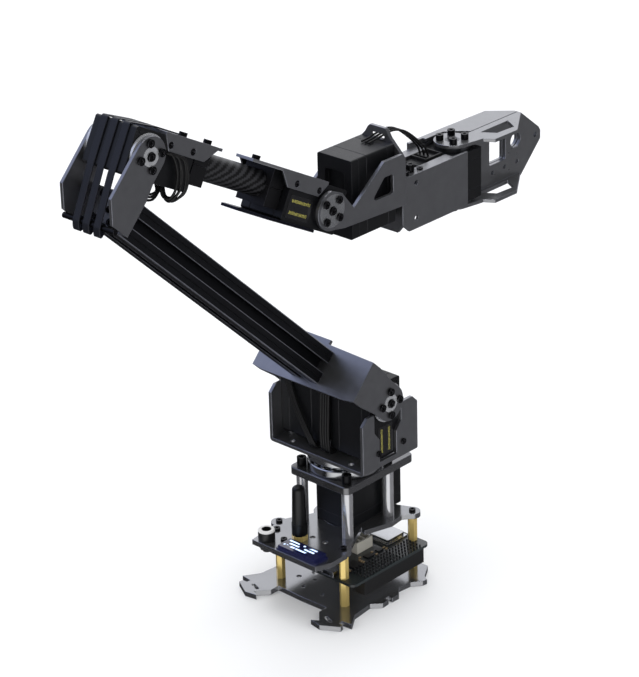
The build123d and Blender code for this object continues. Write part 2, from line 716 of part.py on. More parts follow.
# Slotted aluminium profile: four slots, a centre bore, and a grip line each side of every slot
slot_mouth_w, slot_inner_w, slot_lip, slot_deep = 5.8, 10.8, 1.6, 5.6
grip_line_r, grip_line_out = 0.35, 6.4
edge = PROFILE_W / 2
slot_side = [
    (edge + 0.1, slot_mouth_w / 2), (edge - slot_lip, slot_mouth_w / 2), (edge - slot_lip, slot_inner_w / 2),
    (edge - slot_lip - 1.4, slot_inner_w / 2), (edge - slot_deep, slot_mouth_w / 2),
]
slot_outline = slot_side + [(x, -y) for x, y in reversed(slot_side)]
with BuildPart() as profile:
    with BuildSketch(end_plane(upper, YOKE_REACH)):
        RectangleRounded(PROFILE_W, PROFILE_W, 1.2)
        Circle(2.1, mode=Mode.SUBTRACT)
        for turn in range(4):
            with Locations(Location((0, 0, 0), (0, 0, 90 * turn))):
                Polygon(*slot_outline, align=None, mode=Mode.SUBTRACT)
            for line in (-grip_line_out, grip_line_out):
                with Locations(Vector(edge, line).rotate(Axis.Z, 90 * turn)):
                    Circle(grip_line_r, mode=Mode.SUBTRACT)
    extrude(amount=profile_l)
keep(profile, "arm_profile")

# Elbow bracket: a web on the profile's end, and an ear up each side to the elbow horns
ear_corner = 9.5
with BuildPart() as elbow_bracket:
    for side in (-1, 1):
        with BuildSketch(elbow_upper.offset(side * ear_outer)):
            with BuildLine():
                Polyline(
                    (EAR_R, 0), (EAR_R, ELBOW_OFFSET), (EAR_R - ear_corner, ELBOW_OFFSET + edge),
                    (-ELBOW_WEB, ELBOW_OFFSET + edge), (-ELBOW_WEB, ELBOW_OFFSET - edge), (-EAR_R, 9),
                    (-EAR_R, 0),
                )
                ThreePointArc((-EAR_R, 0), (0, -EAR_R), (EAR_R, 0))
            make_face()
            with Locations(*horn_bolts):
                Circle(CAP_SHANK_R + HOLE_GAP, mode=Mode.SUBTRACT)
            Circle(BOSS_R + SEAT_GAP, mode=Mode.SUBTRACT)
        extrude(amount=-side * SHEET)
    with BuildSketch(end_plane(elbow_upper, -ELBOW_WEB, ELBOW_OFFSET)):
        Rectangle(2 * ear_outer, PROFILE_W)
        Circle(2.1, mode=Mode.SUBTRACT)
        with Locations(*web_bolts):
            Circle(CAP_SHANK_R + HOLE_GAP, mode=Mode.SUBTRACT)
    extrude(amount=SHEET)
keep(elbow_bracket, "elbow_bracket")
horns("elbow_horns", elbow_upper, SERVO_D / 2, HORN_T)

# Screws of the upper arm: webs to the profile, ears to the horns
ear_grip = HORN_T + SHEET - 0.3
low_web = end_plane(upper, YOKE_REACH - SHEET)
ear_seats = horn_seats(upper, shoulder_outer, ear_grip) + horn_seats(elbow_upper, ear_outer, ear_grip)
screws("upper_arm_screws", ear_seats + [
    cap(Plane(origin=low_web.origin, x_dir=low_web.x_dir, z_dir=-low_web.z_dir), web_bolts, SHEET),
    cap(end_plane(elbow_upper, SHEET - ELBOW_WEB, ELBOW_OFFSET), web_bolts, SHEET),
])

# Pin across the elbow bracket's lower edge that the elastic bands hook on, held in a lug on each end
pin_along, pin_r, pin_drop = -3.0, 1.6, ELBOW_OFFSET + PROFILE_W / 2 + 1.6
pin_plane = link_plane(
    (elbow_upper.origin + elbow_upper.x_dir * pin_along + elbow_upper.y_dir * pin_drop).X,
    (elbow_upper.origin + elbow_upper.x_dir * pin_along + elbow_upper.y_dir * pin_drop).Z, UPPER_ANGLE,
)
with BuildPart() as band_pin:
    with BuildSketch(pin_plane):
        Circle(pin_r)
    extrude(amount=ear_outer, both=True)
keep(band_pin, "band_pin")

# Forearm servos
servo("elbow_servo", fore)
servo("wrist_servo", wrist_back)

# Channel mounts: a plate along each servo's edge that narrows over the tube, and a flange down each side
mount_half = SERVO_D / 2 + MOUNT_FLANGE_T
mount_screw_drop = 4.2
flange_slope = 7.5


def servo_mount(name, plane, way, start, full, tip, tip_half, studs, flanges=True):
    """A mount on one edge of a servo. Lengths run along the plane's x from the servo's shaft: the plate
    starts at start, is full width as far as full, and narrows to tip_half at its tip."""
    level = way * SERVO_W / 2
    with BuildPart() as mount:
        with BuildSketch(face_plane(plane, 0, level, way)):
            with BuildLine():
                Polyline(
                    (start, -mount_half), (full, -mount_half), (tip, -tip_half), (tip, tip_half),
                    (full, mount_half), (start, mount_half), close=True,
                )
            make_face()
            if studs:
                with Locations(*studs):
                    Circle(CAP_SHANK_R + HOLE_GAP, mode=Mode.SUBTRACT)
        extrude(amount=MOUNT_T)
        for side in (-1, 1) if flanges else ():
            with BuildSketch(plane.offset(side * mount_half)):
                with BuildLine():
                    Polyline(
                        (start, level + way * MOUNT_T), (full, level + way * MOUNT_T), (full, level),
                        (full - flange_slope, level - way * MOUNT_DROP),
                        (start + 5, level - way * MOUNT_DROP),
                        (start, level), close=True,
                    )
                make_face()
                with Locations(*[(a, level - way * mount_screw_drop) for a in (start + 5.5, servo_back - 3)]):
                    Circle(SMALL_HEAD_R + SEAT_GAP, mode=Mode.SUBTRACT)
            extrude(amount=-side * MOUNT_FLANGE_T)
    keep(mount, name)


elbow_start, elbow_full, elbow_tip, mount_tip_half = 8.7, 48.0, 62.0, 6.0
wrist_start, wrist_full, wrist_tip = 6.5, 44.6, 58.5
elbow_studs, wrist_studs = [(37.0, 0), (56.0, 0)], [(50.0, 0)]
servo_mount("elbow_mount", fore, 1, elbow_start, elbow_full, elbow_tip, mount_tip_half, elbow_studs)
for name, way, studs, flanges in (
    ("wrist_mount_top", -1, wrist_studs, True), ("wrist_mount_bottom", 1, [], False)
):
    servo_mount(name, wrist_back, way, wrist_start, wrist_full, wrist_tip, mount_tip_half, studs, flanges)

# Split clamp blocks that hold the tube's ends between the mounts
clamp_slit = 0.4
elbow_clamp, wrist_clamp = 40.0, servo_back + 0.4
for name, plane, way, along in (
    ("elbow_tube_clamp", fore, 1, elbow_clamp), ("wrist_tube_clamp", wrist_back, -1, wrist_clamp)
):
    clamp_plane = end_plane(plane, along, way * TUBE_RISE)
    low, high = way * (-CLAMP_DROP - TUBE_RISE), way * (SERVO_W / 2 - TUBE_RISE)
    flip = 1 if plane.y_dir.dot(clamp_plane.y_dir) > 0 else -1
    with BuildPart() as clamp:
        with BuildSketch(clamp_plane):
            with Locations((0, flip * (low + high) / 2)):
                Rectangle(CLAMP_W, abs(high - low))
            Circle(TUBE_R, mode=Mode.SUBTRACT)
            Rectangle(CLAMP_W + 1, clamp_slit, mode=Mode.SUBTRACT)
        extrude(amount=CLAMP_L)
    keep(clamp, name)

# Forearm tube, from just inside one clamp to just inside the other
tube_start = elbow_clamp + 1.0
tube_end = FORE_REACH - wrist_clamp - 1.0
with BuildPart() as tube:
    with BuildSketch(end_plane(fore, tube_start, TUBE_RISE)):
        Circle(TUBE_R)
        Circle(TUBE_R - TUBE_WALL, mode=Mode.SUBTRACT)
    extrude(amount=tube_end - tube_start)
keep(tube, "forearm_tube")

# Forearm screws: flush ones in the flanges, and socket heads on the mounts' plates
flush_seats = []
for plane, start, way in ((fore, elbow_start, 1), (wrist_back, wrist_start, -1)):
    for side in (1, -1):
        rise = side * way * (SERVO_W / 2 - mount_screw_drop)
        spots = [(start + 5.5, rise), (servo_back - 3, rise)]
        flush_seats.append(small(side_plane(plane, SERVO_D / 2, side), spots, 0, MOUNT_FLANGE_T))
screws("forearm_screws", flush_seats + [
    cap(face_plane(fore, 0, SERVO_W / 2 + MOUNT_T), elbow_studs, MOUNT_T + 0.5),
    cap(face_plane(wrist_back, 0, -SERVO_W / 2 - MOUNT_T, -1), wrist_studs, MOUNT_T + 0.5),
])

# Elastic bands: hooked over the elbow servo's mount, round the servo's rear, and down to the pin
band_lift = BAND_T / 2 + SEAT_GAP
band_hook = 24.0
mount_level = SERVO_W / 2 + MOUNT_T + band_lift
rear = SHAFT_END + band_lift
pin_grip = pin_r + band_lift
band_corners = [(band_hook, mount_level), (elbow_start - 1, mount_level), (-rear, SERVO_W / 2 + band_lift),
                (-rear, -SERVO_W / 2 - band_lift)]
band_path = [fore.origin + fore.x_dir * x + fore.y_dir * y for x, y in band_corners]
heading = (pin_plane.origin - band_path[-1]).normalized()
band_path.append(pin_plane.origin + Vector(heading.Z, 0, -heading.X) * pin_grip)
with BuildPart() as bands:
    for count in range(BAND_COUNT):
        shift = (count - (BAND_COUNT - 1) / 2) * BAND_PITCH
        with BuildSketch(Plane.XZ.offset(shift)):
            with BuildLine() as run:
                FilletPolyline(*[(point.X, point.Z) for point in band_path], radius=0.9)
            trace(line_width=BAND_T)
            with Locations((pin_plane.origin.X, pin_plane.origin.Z)):
                Circle(pin_grip + BAND_T / 2)
            with Locations((pin_plane.origin.X, pin_plane.origin.Z)):
                Circle(pin_grip - BAND_T / 2, mode=Mode.SUBTRACT)
        extrude(amount=BAND_W / 2, both=True)
keep(bands, "elastic_bands")

# Wrist yoke: ears with a rounded window, a web in front, and a cable loop above it
yoke_low, yoke_high, loop_high = -14.8, 15.0, 26.7
yoke_screws = [(-7, 12), (7, 12)]
with BuildPart() as wrist_yoke:
    for side in (-1, 1):
        with BuildSketch(hand.offset(side * ear_outer)):
            with BuildLine():
                Polyline(
                    (0, WRIST_EAR_R), (8, 7.5), (16.8, -3.6), (41.4, yoke_high),
                    (YOKE_WEB_X - 2.5, yoke_high), (YOKE_WEB_X, yoke_high - 3), (YOKE_WEB_X, yoke_low),
                    (9.4, -12.7), (0, -WRIST_EAR_R),
                )
                ThreePointArc((0, -WRIST_EAR_R), (-WRIST_EAR_R, 0), (0, WRIST_EAR_R))
            make_face()
            with BuildLine():
                FilletPolyline((30.5, -5), (48.4, -5), (48.4, 6.2), (41.2, 6.2), radius=1.8, close=True)
            make_face(mode=Mode.SUBTRACT)
            with Locations(*horn_bolts):
                Circle(CAP_SHANK_R + HOLE_GAP, mode=Mode.SUBTRACT)
            Circle(BOSS_R + SEAT_GAP, mode=Mode.SUBTRACT)
        extrude(amount=-side * SHEET)
    with BuildSketch(Plane(origin=(web_x, 0, wrist_spot.Z), x_dir=(0, 1, 0), z_dir=(1, 0, 0))):
        with BuildLine():
            Polyline(
                (-ear_outer, yoke_low), (ear_outer, yoke_low), (ear_outer, yoke_high - 3), (16, yoke_high),
                (9, 22), (7, loop_high - 1.5), (5.5, loop_high), (-5.5, loop_high), (-7, loop_high - 1.5),
                (-9, 22), (-16, yoke_high), (-ear_outer, yoke_high - 3), close=True,
            )
        make_face()
        with Locations((0, 21.5)):
            SlotOverall(10, 3.0, mode=Mode.SUBTRACT)
        with Locations((0, -ROLL_DROP)):
            Circle(HORN_R + 1.0, mode=Mode.SUBTRACT)
        with Locations(*yoke_screws):
            Circle(SMALL_SHANK_R + HOLE_GAP, mode=Mode.SUBTRACT)
    extrude(amount=-SHEET)
keep(wrist_yoke, "wrist_yoke")
horns("wrist_horns", hand, SERVO_D / 2, HORN_T)
web_front = Plane(origin=(web_x, 0, wrist_spot.Z), x_dir=(0, 1, 0), z_dir=(1, 0, 0))
screws("wrist_screws", horn_seats(hand, ear_outer, ear_grip) + [small(web_front, yoke_screws, SHEET)])

# Roll servo behind the yoke's web with its shaft forwards, and the cover on its back
roll_middle = web_x - SHEET - SEAT_GAP - SERVO_D / 2
roll_plane = Plane(origin=(roll_middle, 0, roll_z), x_dir=(0, 0, 1), z_dir=(1, 0, 0))
servo("roll_servo", roll_plane, False, False)
cover_recess_l, cover_recess_w, cover_recess_deep = 30.0, 14.0, 3.0
with BuildPart() as roll_cover:
    with BuildSketch(roll_plane.offset(-SERVO_D / 2)):
        with Locations((servo_mid, 0)):
            RectangleRounded(SERVO_L, SERVO_W, CASE_EDGE_R)
    extrude(amount=-ROLL_COVER_T)
    with BuildSketch(roll_plane.offset(-SERVO_D / 2 - ROLL_COVER_T)):
        with Locations((servo_mid, 0)):
            RectangleRounded(cover_recess_l, cover_recess_w, 2)
    extrude(amount=cover_recess_deep, mode=Mode.SUBTRACT)
keep(roll_cover, "roll_cover")

# Roll horn: the roll servo's output disc, which carries the gripper's back plate
horn_plane = Plane(origin=(web_x - SHEET, 0, roll_z), x_dir=(0, 1, 0), z_dir=(1, 0, 0))
with BuildPart() as roll_horn:
    with BuildSketch(horn_plane):
        Circle(HORN_R)
        with Locations(*horn_bolts):
            Circle(CAP_SHANK_R + HOLE_GAP, mode=Mode.SUBTRACT)
    extrude(amount=SHEET + GRIP_GAP)
    with BuildSketch(horn_plane):
        Circle(SHAFT_R)
    extrude(amount=-(SHAFT_DEPTH - SEAT_GAP))
keep(roll_horn, "roll_horn")

# Gripper bracket: a back plate on the roll horn, a side plate each side of the servo, and turned-in rims
back_plane = Plane(origin=(grip_x, 0, 0), x_dir=(0, 1, 0), z_dir=(1, 0, 0))
grip_outer = grip_half + GRIP_SHEET
grip_low = grip_bottom - 1.3
grip_high = grip_bottom + SERVO_D + SEAT_GAP + GRIP_SHEET
back_high = roll_z + GRIP_BACK_H
rim_w, rim_start, rim_end = 7.0, 4.0, 44.0
side_holes = [(grip_x + 11.3, grip_high - 5.2), (grip_x + 11.3, grip_low + 6.2)]
with BuildPart() as grip_bracket:
    with BuildSketch(back_plane):
        with BuildLine():
            Polyline(
                (-grip_outer, grip_low + 5), (4 - grip_outer, grip_low), (grip_outer - 4, grip_low),
                (grip_outer, grip_low + 5), (grip_outer, back_high - 3), (grip_outer - 3, back_high),
                (3 - grip_outer, back_high), (-grip_outer, back_high - 3), close=True,
            )
        make_face()
        with Locations(*[(y, roll_z + z) for y, z in horn_bolts]):
            Circle(CAP_SHANK_R + HOLE_GAP, mode=Mode.SUBTRACT)
        with Locations((0, roll_z + 16.5)):
            RectangleRounded(14, 7, 1.5, mode=Mode.SUBTRACT)
    extrude(amount=SHEET)
    for side in (-1, 1):
        with BuildSketch(Plane.XZ.offset(side * grip_outer)):
            with BuildLine():
                Polyline(
                    (grip_x, grip_low + 5), (grip_x + 5.5, grip_low), (grip_x + GRIP_SIDE_L, grip_low),
                    (grip_x + GRIP_SIDE_L, grip_high), (grip_x + rim_start, grip_high),
                    (grip_x, grip_high + 5), close=True,
                )
            make_face()
            with Locations(*side_holes):
                Circle(1.5, mode=Mode.SUBTRACT)
        extrude(amount=-side * GRIP_SHEET)
        with BuildSketch(Plane.XY.offset(grip_high)):
            with Locations((grip_x + (rim_start + rim_end) / 2, side * (grip_outer - rim_w / 2))):
                Rectangle(rim_end - rim_start, rim_w)
            with Locations((grip_x + 6.5, side * (grip_outer - 3.6))):
                Circle(CAP_SHANK_R + HOLE_GAP, mode=Mode.SUBTRACT)
            with Locations((grip_x + 18.5, side * (grip_outer - 3.6))):
                Circle(SMALL_SHANK_R + HOLE_GAP, mode=Mode.SUBTRACT)
        extrude(amount=-GRIP_SHEET)
keep(grip_bracket, "gripper_bracket")

# Gripper servo, lying along the hand with its shaft upright
grip_servo_plane = Plane(origin=(jaw_x, 0, grip_mid), x_dir=(-1, 0, 0), z_dir=(0, 0, 1))
servo("gripper_servo", grip_servo_plane)
horns("jaw_horns", grip_servo_plane, SERVO_D / 2, JAW_HORN_T)

# Outline of a jaw's gripping web, from the arms' root to its pointed nose, and its window and holes
web_low, web_high = jaw_low - SHEET, jaw_top + SHEET
web_outline = [
    (jaw_x + JAW_WEB_START, web_low), (jaw_x + JAW_REACH - 17.5, web_low),
    (jaw_x + JAW_REACH, web_low + 17.5), (jaw_x + JAW_REACH, web_low + 22.5),
    (jaw_x + JAW_REACH - 1.5, web_low + 25),
    (jaw_x + JAW_REACH - 18, web_high), (jaw_x + JAW_WEB_START, web_high),
]
web_window = (jaw_x + 37, grip_mid + 3.2)
web_big_hole = (jaw_x + 53.2, grip_mid + 3.6)
web_holes = [(jaw_x + 54.5, web_low + 9.5), (jaw_x + 43.3, web_low + 9.5), (jaw_x + 32.5, web_low + 9)]
tip_hole = (jaw_x + JAW_REACH - 4.6, web_low + 21)
arm_slot = [(18.5, 5.0), (43, 5.0), (37.5, 14), (23.5, 13)]

# Moving jaw: an ear on each horn, a slotted arm out from each, and the web between the arms
moving_arm = [
    (3, -JAW_GAP), (JAW_REACH - 18, -JAW_GAP), (JAW_REACH - 18, -JAW_GAP - SHEET), (34.5, -18.7),
    (15.4, -18.5), (12, -12.7), (-2, -JAW_EAR_R + 0.2),
]
with BuildPart() as moving_jaw:
    for level, way in ((jaw_top, 1), (jaw_low, -1)):
        with BuildSketch(Plane.XY.offset(level)):
            with Locations((jaw_x, 0)):
                Circle(JAW_EAR_R)
                Polygon(*moving_arm, align=None)
                Polygon(*[(x, -y) for x, y in arm_slot], align=None, mode=Mode.SUBTRACT)
                Circle(BOSS_R + SEAT_GAP, mode=Mode.SUBTRACT)
            with Locations(*[(jaw_x + x, y) for x, y in horn_bolts]):
                Circle(CAP_SHANK_R + HOLE_GAP, mode=Mode.SUBTRACT)
        extrude(amount=way * SHEET)
    with BuildSketch(Plane.XZ.offset(JAW_GAP)):
        Polygon(*web_outline, align=None)
        with Locations(web_window):
            RectangleRounded(14.5, 17, 1, mode=Mode.SUBTRACT)
        with Locations(web_big_hole):
            Circle(4.5, mode=Mode.SUBTRACT)
        with Locations(*web_holes):
            Circle(1.3, mode=Mode.SUBTRACT)
        with Locations(tip_hole):
            Circle(JAW_HOLE_R, mode=Mode.SUBTRACT)
    extrude(amount=SHEET)
keep(moving_jaw, "moving_jaw")

# Fixed jaw: flanks the gripper bracket, and carries a matching web
flank_start, flank_end = 20.0, 9.0
flank_in = grip_outer + SEAT_GAP
flank_screws = [(jaw_x - flank_start + 5, grip_mid + 8), (jaw_x - flank_start + 5, grip_mid - 8)]
fixed_arm = [
    (-flank_start, flank_in), (-8.7, flank_in), (-8.7, 11.9), (6, 11.9), (12.5, 5.5),
    (JAW_WEB_START, JAW_GAP), (JAW_REACH - 18, JAW_GAP), (JAW_REACH - 18, JAW_GAP + SHEET), (47, 15.2),
    (flank_end, flank_in + SHEET), (-flank_start, flank_in + SHEET),
]
with BuildPart() as fixed_jaw:
    for level, way in ((jaw_top, 1), (jaw_low, -1)):
        with BuildSketch(Plane.XY.offset(level)):
            with Locations((jaw_x, 0)):
                Polygon(*fixed_arm, align=None)
        extrude(amount=way * SHEET)
    with BuildSketch(Plane.XZ.offset(-flank_in)):
        with Locations((jaw_x + (flank_end - flank_start) / 2, grip_mid)):
            Rectangle(flank_end + flank_start, web_high - web_low)
        with Locations(*flank_screws):
            Circle(SMALL_SHANK_R + HOLE_GAP, mode=Mode.SUBTRACT)
    extrude(amount=-SHEET)
    with BuildSketch(Plane.XZ.offset(-JAW_GAP)):
        Polygon(*web_outline, align=None)
        with Locations(web_window):
            RectangleRounded(14.5, 17, 1, mode=Mode.SUBTRACT)
        with Locations(web_big_hole):
            Circle(4.5, mode=Mode.SUBTRACT)
        with Locations(*web_holes):
            Circle(1.3, mode=Mode.SUBTRACT)
        with Locations(tip_hole):
            Circle(JAW_HOLE_R, mode=Mode.SUBTRACT)
    extrude(amount=-SHEET)
keep(fixed_jaw, "fixed_jaw")

# Screws of the gripper and of the moving jaw
back_face = Plane(origin=(grip_x + SHEET, 0, roll_z), x_dir=(0, 1, 0), z_dir=(1, 0, 0))
rim_top = Plane.XY.offset(grip_high)
rim_y = grip_outer - 3.6
screws("gripper_screws", [
    cap(back_face, horn_bolts, SHEET + GRIP_GAP, LOW_HEAD_H),
    cap(rim_top, [(grip_x + 6.5, -rim_y), (grip_x + 6.5, rim_y)], GRIP_SHEET),
    small(rim_top, [(grip_x + 18.5, -rim_y), (grip_x + 18.5, rim_y)], GRIP_SHEET),
    small(side_plane(bracket_mid, flank_in + SHEET, -1), [(x, -z) for x, z in flank_screws], SHEET),
])
jaw_head_h = 3.3
jaw_grip = JAW_HORN_T + SHEET - 0.3
jaw_spots = [(jaw_x + x, y) for x, y in horn_bolts]
screws("jaw_screws", [
    cap(Plane.XY.offset(web_high), jaw_spots, jaw_grip, jaw_head_h),
    cap(Plane.XY.offset(web_high), [(jaw_x, 0)], jaw_grip, LOW_HEAD_H),
    cap(Plane(origin=(0, 0, web_low), x_dir=(1, 0, 0), z_dir=(0, 0, -1)),
        [(x, -y) for x, y in jaw_spots], jaw_grip, LOW_HEAD_H),
])


def leads(name, routes, radius):
    """Round leads, one along each route: a list of points that it bends smoothly between."""
    with BuildPart() as group:
        for route in routes:
            with BuildLine() as line:
                FilletPolyline(*route, radius=LEAD_BEND_R)
            with BuildSketch(Plane(origin=line.line @ 0, z_dir=line.line % 0)):
                Circle(radius)
            sweep(path=line.line)
    keep(group, name)


def fore_point(along, across, y):
    """A point of the forearm, from distances along and across it and its place in Y."""
    return fore.origin + fore.x_dir * along + fore.y_dir * across + Vector(0, y, 0)


# Leads of the elbow servo: out of its flank, down in a loop, and back up to its underside
flank_y = -SERVO_D / 2 - SEAT_GAP
lead_out = flank_y - 2.3
under = -SERVO_W / 2 - SEAT_GAP
leads("elbow_leads", [
    [fore_point(15 + 2.4 * i, 3.2, flank_y), fore_point(15 + 2.4 * i, 3.2, lead_out),
     fore_point(18.5 + 2.8 * i, under - 3.2 - i, lead_out), fore_point(21 + 2.6 * i, under - 4.6 - i, -9 + i),
     fore_point(21 + 2.6 * i, under, -9 + i)]
    for i in range(4)
], LEAD_R)

# Leads that arch from the roll servo's top through the yoke's loop to the gripper servo
roll_top = roll_z - SHAFT_END + SERVO_L
loop_z = wrist_spot.Z + 21.5
grip_top = grip_bottom + SERVO_D
leads("hand_leads", [
    [(web_x - 12, y, roll_top + 0.8), (web_x - 5, y, loop_z), (web_x + 10, 1.4 * y - 0.6, loop_z + 0.4),
     (grip_x + 16, 1.4 * y - 1.2, grip_top + 12), (grip_x + 32, 1.2 * y - 2, grip_top + 5.5),
     (grip_x + 32, 1.2 * y - 2, grip_top + SEAT_GAP)]
    for y in (-2.6, 0.0, 2.6)
], LEAD_R)

# Bundled leads down the back of the shoulder servos to the bracket's floor
case_back = SHOULDER_X - SERVO_W / 2 - SEAT_GAP
floor_z = bracket_z + SHEET
leads("shoulder_leads", [
    [(case_back - 1.4, 16, shoulder_z + 1), (case_back - 2.4, 3.2, floor_z + 4),
     (case_back - 2.2, 2.4, floor_z + 1.12), (case_back + 3, 1.4, floor_z + 1.12)],
    [(case_back - 1.4, -3.5, shoulder_z + 1), (case_back - 2.0, -4.5, floor_z + 4),
     (case_back - 2.0, -4.5, floor_z + 1.12), (case_back + 3, -4.5, floor_z + 1.12)],
    [(case_back - 3.6, -0.8, shoulder_z - 2), (case_back - 4.4, -1.2, floor_z + 4),
     (case_back - 4.4, -1.2, floor_z + 1.12), (case_back + 3, -1.6, floor_z + 1.12)],
], BUNDLE_R)
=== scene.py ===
"""Looks of a desktop robot arm: a finish for every solid of the frame, loose bands and leads in place of stiff
ones, small parts on the board, plain marks on two servo cases, and a studio with a white floor. All places
are in the frame's own axes, in metres unless a comment says millimetres."""

import json
from math import cos, pi, radians, sin

import bpy
import numpy as np
from mathutils import Matrix, Vector


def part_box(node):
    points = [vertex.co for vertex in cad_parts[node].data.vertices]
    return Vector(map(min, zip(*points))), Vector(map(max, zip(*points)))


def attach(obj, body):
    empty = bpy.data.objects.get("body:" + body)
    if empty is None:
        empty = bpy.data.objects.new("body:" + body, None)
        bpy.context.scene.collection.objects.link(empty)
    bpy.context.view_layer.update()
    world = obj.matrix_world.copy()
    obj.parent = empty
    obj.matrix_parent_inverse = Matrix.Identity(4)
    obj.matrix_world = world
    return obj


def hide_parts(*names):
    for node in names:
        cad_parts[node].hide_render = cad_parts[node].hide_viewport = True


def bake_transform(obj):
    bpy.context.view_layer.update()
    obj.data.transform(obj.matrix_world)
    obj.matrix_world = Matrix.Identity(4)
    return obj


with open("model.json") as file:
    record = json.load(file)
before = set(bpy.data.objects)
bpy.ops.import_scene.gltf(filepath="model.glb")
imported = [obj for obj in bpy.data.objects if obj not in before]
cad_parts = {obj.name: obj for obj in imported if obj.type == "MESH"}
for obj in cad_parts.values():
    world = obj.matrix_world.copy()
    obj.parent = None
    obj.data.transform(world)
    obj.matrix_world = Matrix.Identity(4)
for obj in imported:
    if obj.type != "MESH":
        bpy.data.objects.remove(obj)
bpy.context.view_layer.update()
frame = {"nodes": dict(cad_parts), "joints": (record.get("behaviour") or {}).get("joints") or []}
nodes = frame["nodes"]
MM = 0.001


def unit(ways):
    """Each vector divided by its own length."""
    return ways / np.linalg.norm(ways, axis=-1, keepdims=True)


def quarter_turn(ways):
    """Each vector of the XZ plane turned by a quarter, from X towards Z: x takes minus z, and z takes x."""
    return np.stack((-ways[..., 2], np.zeros_like(ways[..., 0]), ways[..., 0]), axis=-1)


# Places and sizes of the arm that the looks need
joint_places = {joint["name"]: np.array(joint["pos_m"]) for joint in frame["joints"]}
SHOULDER, ELBOW, WRIST = (joint_places[name] for name in ("shoulder", "elbow", "wrist_pitch"))
FORE = unit(WRIST - ELBOW)
FORE_UP = quarter_turn(FORE)
UPPER_ANGLE = radians(136.3)
UPPER_OUT = quarter_turn(np.array((cos(UPPER_ANGLE), 0, sin(UPPER_ANGLE))))
SIDE_WAY = np.array((0.0, 1.0, 0.0))
UP_WAY = np.array((0.0, 0.0, 1.0))
SERVO_W = 24.7 * MM
SERVO_D = 29.0 * MM
SHOULDER_Y = 33.1 * MM
TUBE_RISE = 2.5 * MM
TUBE_R = 7.25 * MM

# Colours, linear
SHEET_GREY = (0.36, 0.365, 0.385)
# Pale blue of the sheets' edges: wear, and partly a painted edge highlight
EDGE_PALE = (0.66, 0.68, 0.80)
CASE_BLACK = (0.0035, 0.0040, 0.0055)
NAVY_BLACK = (0.006, 0.0075, 0.014)
SOFT_BLACK = (0.003, 0.003, 0.0035)
KNOB_BLACK = (0.010, 0.010, 0.011)
MASK_BLACK = (0.008, 0.010, 0.011)
BRASS = (1.0, 0.76, 0.27)
STEEL = (0.62, 0.63, 0.65)
OXIDE = (0.018, 0.018, 0.020)
LABEL_AMBER = (0.36, 0.33, 0.07)
SCREEN_BLUE = (0.55, 0.72, 1.0)
FLOOR_WHITE = (0.93, 0.94, 0.96)


def put(tree, kind, settings=None, **inputs):
    """Add a shader node. settings are its own properties. inputs are set or linked, by name or by i0, i1."""
    node = tree.nodes.new(kind)
    for key, value in (settings or {}).items():
        setattr(node, key, value)
    for key, value in inputs.items():
        if key[0] == "i" and key[1:].isdigit():
            socket = node.inputs[int(key[1:])]
        else:
            socket = node.inputs[key.replace("_", " ")]
        if isinstance(value, bpy.types.NodeSocket):
            tree.links.new(value, socket)
        else:
            socket.default_value = value
    return node


def calc(tree, operation, *values):
    """A math node's output for these values or sockets."""
    inputs = {f"i{i}": value for i, value in enumerate(values)}
    return put(tree, "ShaderNodeMath", {"operation": operation}, **inputs).outputs[0]


def between(tree, value, low, high):
    """1 where a value lies between low and high, and 0 elsewhere."""
    return calc(tree, "MULTIPLY", calc(tree, "GREATER_THAN", value, low), calc(tree, "LESS_THAN", value, high))


def along_way(tree, place, origin, way):
    """How far a place lies from an origin along a unit way: the dot product of their difference and the way."""
    offset = put(tree, "ShaderNodeVectorMath", {"operation": "SUBTRACT"}, i0=place, i1=origin.tolist())
    return put(tree, "ShaderNodeVectorMath", {"operation": "DOT_PRODUCT"}, i0=offset.outputs[0],
               i1=way.tolist()).outputs["Value"]


def blend_colour(tree, mask, first, second):
    """The colour between two colours or sockets, by a mask."""
    node = put(tree, "ShaderNodeMix", {"data_type": "RGBA"})
    for socket, value in zip((node.inputs[0], node.inputs[6], node.inputs[7]), (mask, first, second)):
        if isinstance(value, bpy.types.NodeSocket):
            tree.links.new(value, socket)
        elif isinstance(value, tuple):
            socket.default_value = (*value, 1)
        else:
            socket.default_value = value
    return node.outputs[2]


def object_place(tree):
    """The place on the surface, in metres."""
    return put(tree, "ShaderNodeTexCoord").outputs["Object"]


BLOTCH_SHARE = 0.03
RUB_LEAST, RUB_SPAN = 0.7, 0.6
EDGE_FAINT, EDGE_FULL = 0.04, 0.22
GRAIN_HEIGHT = 0.1 * MM


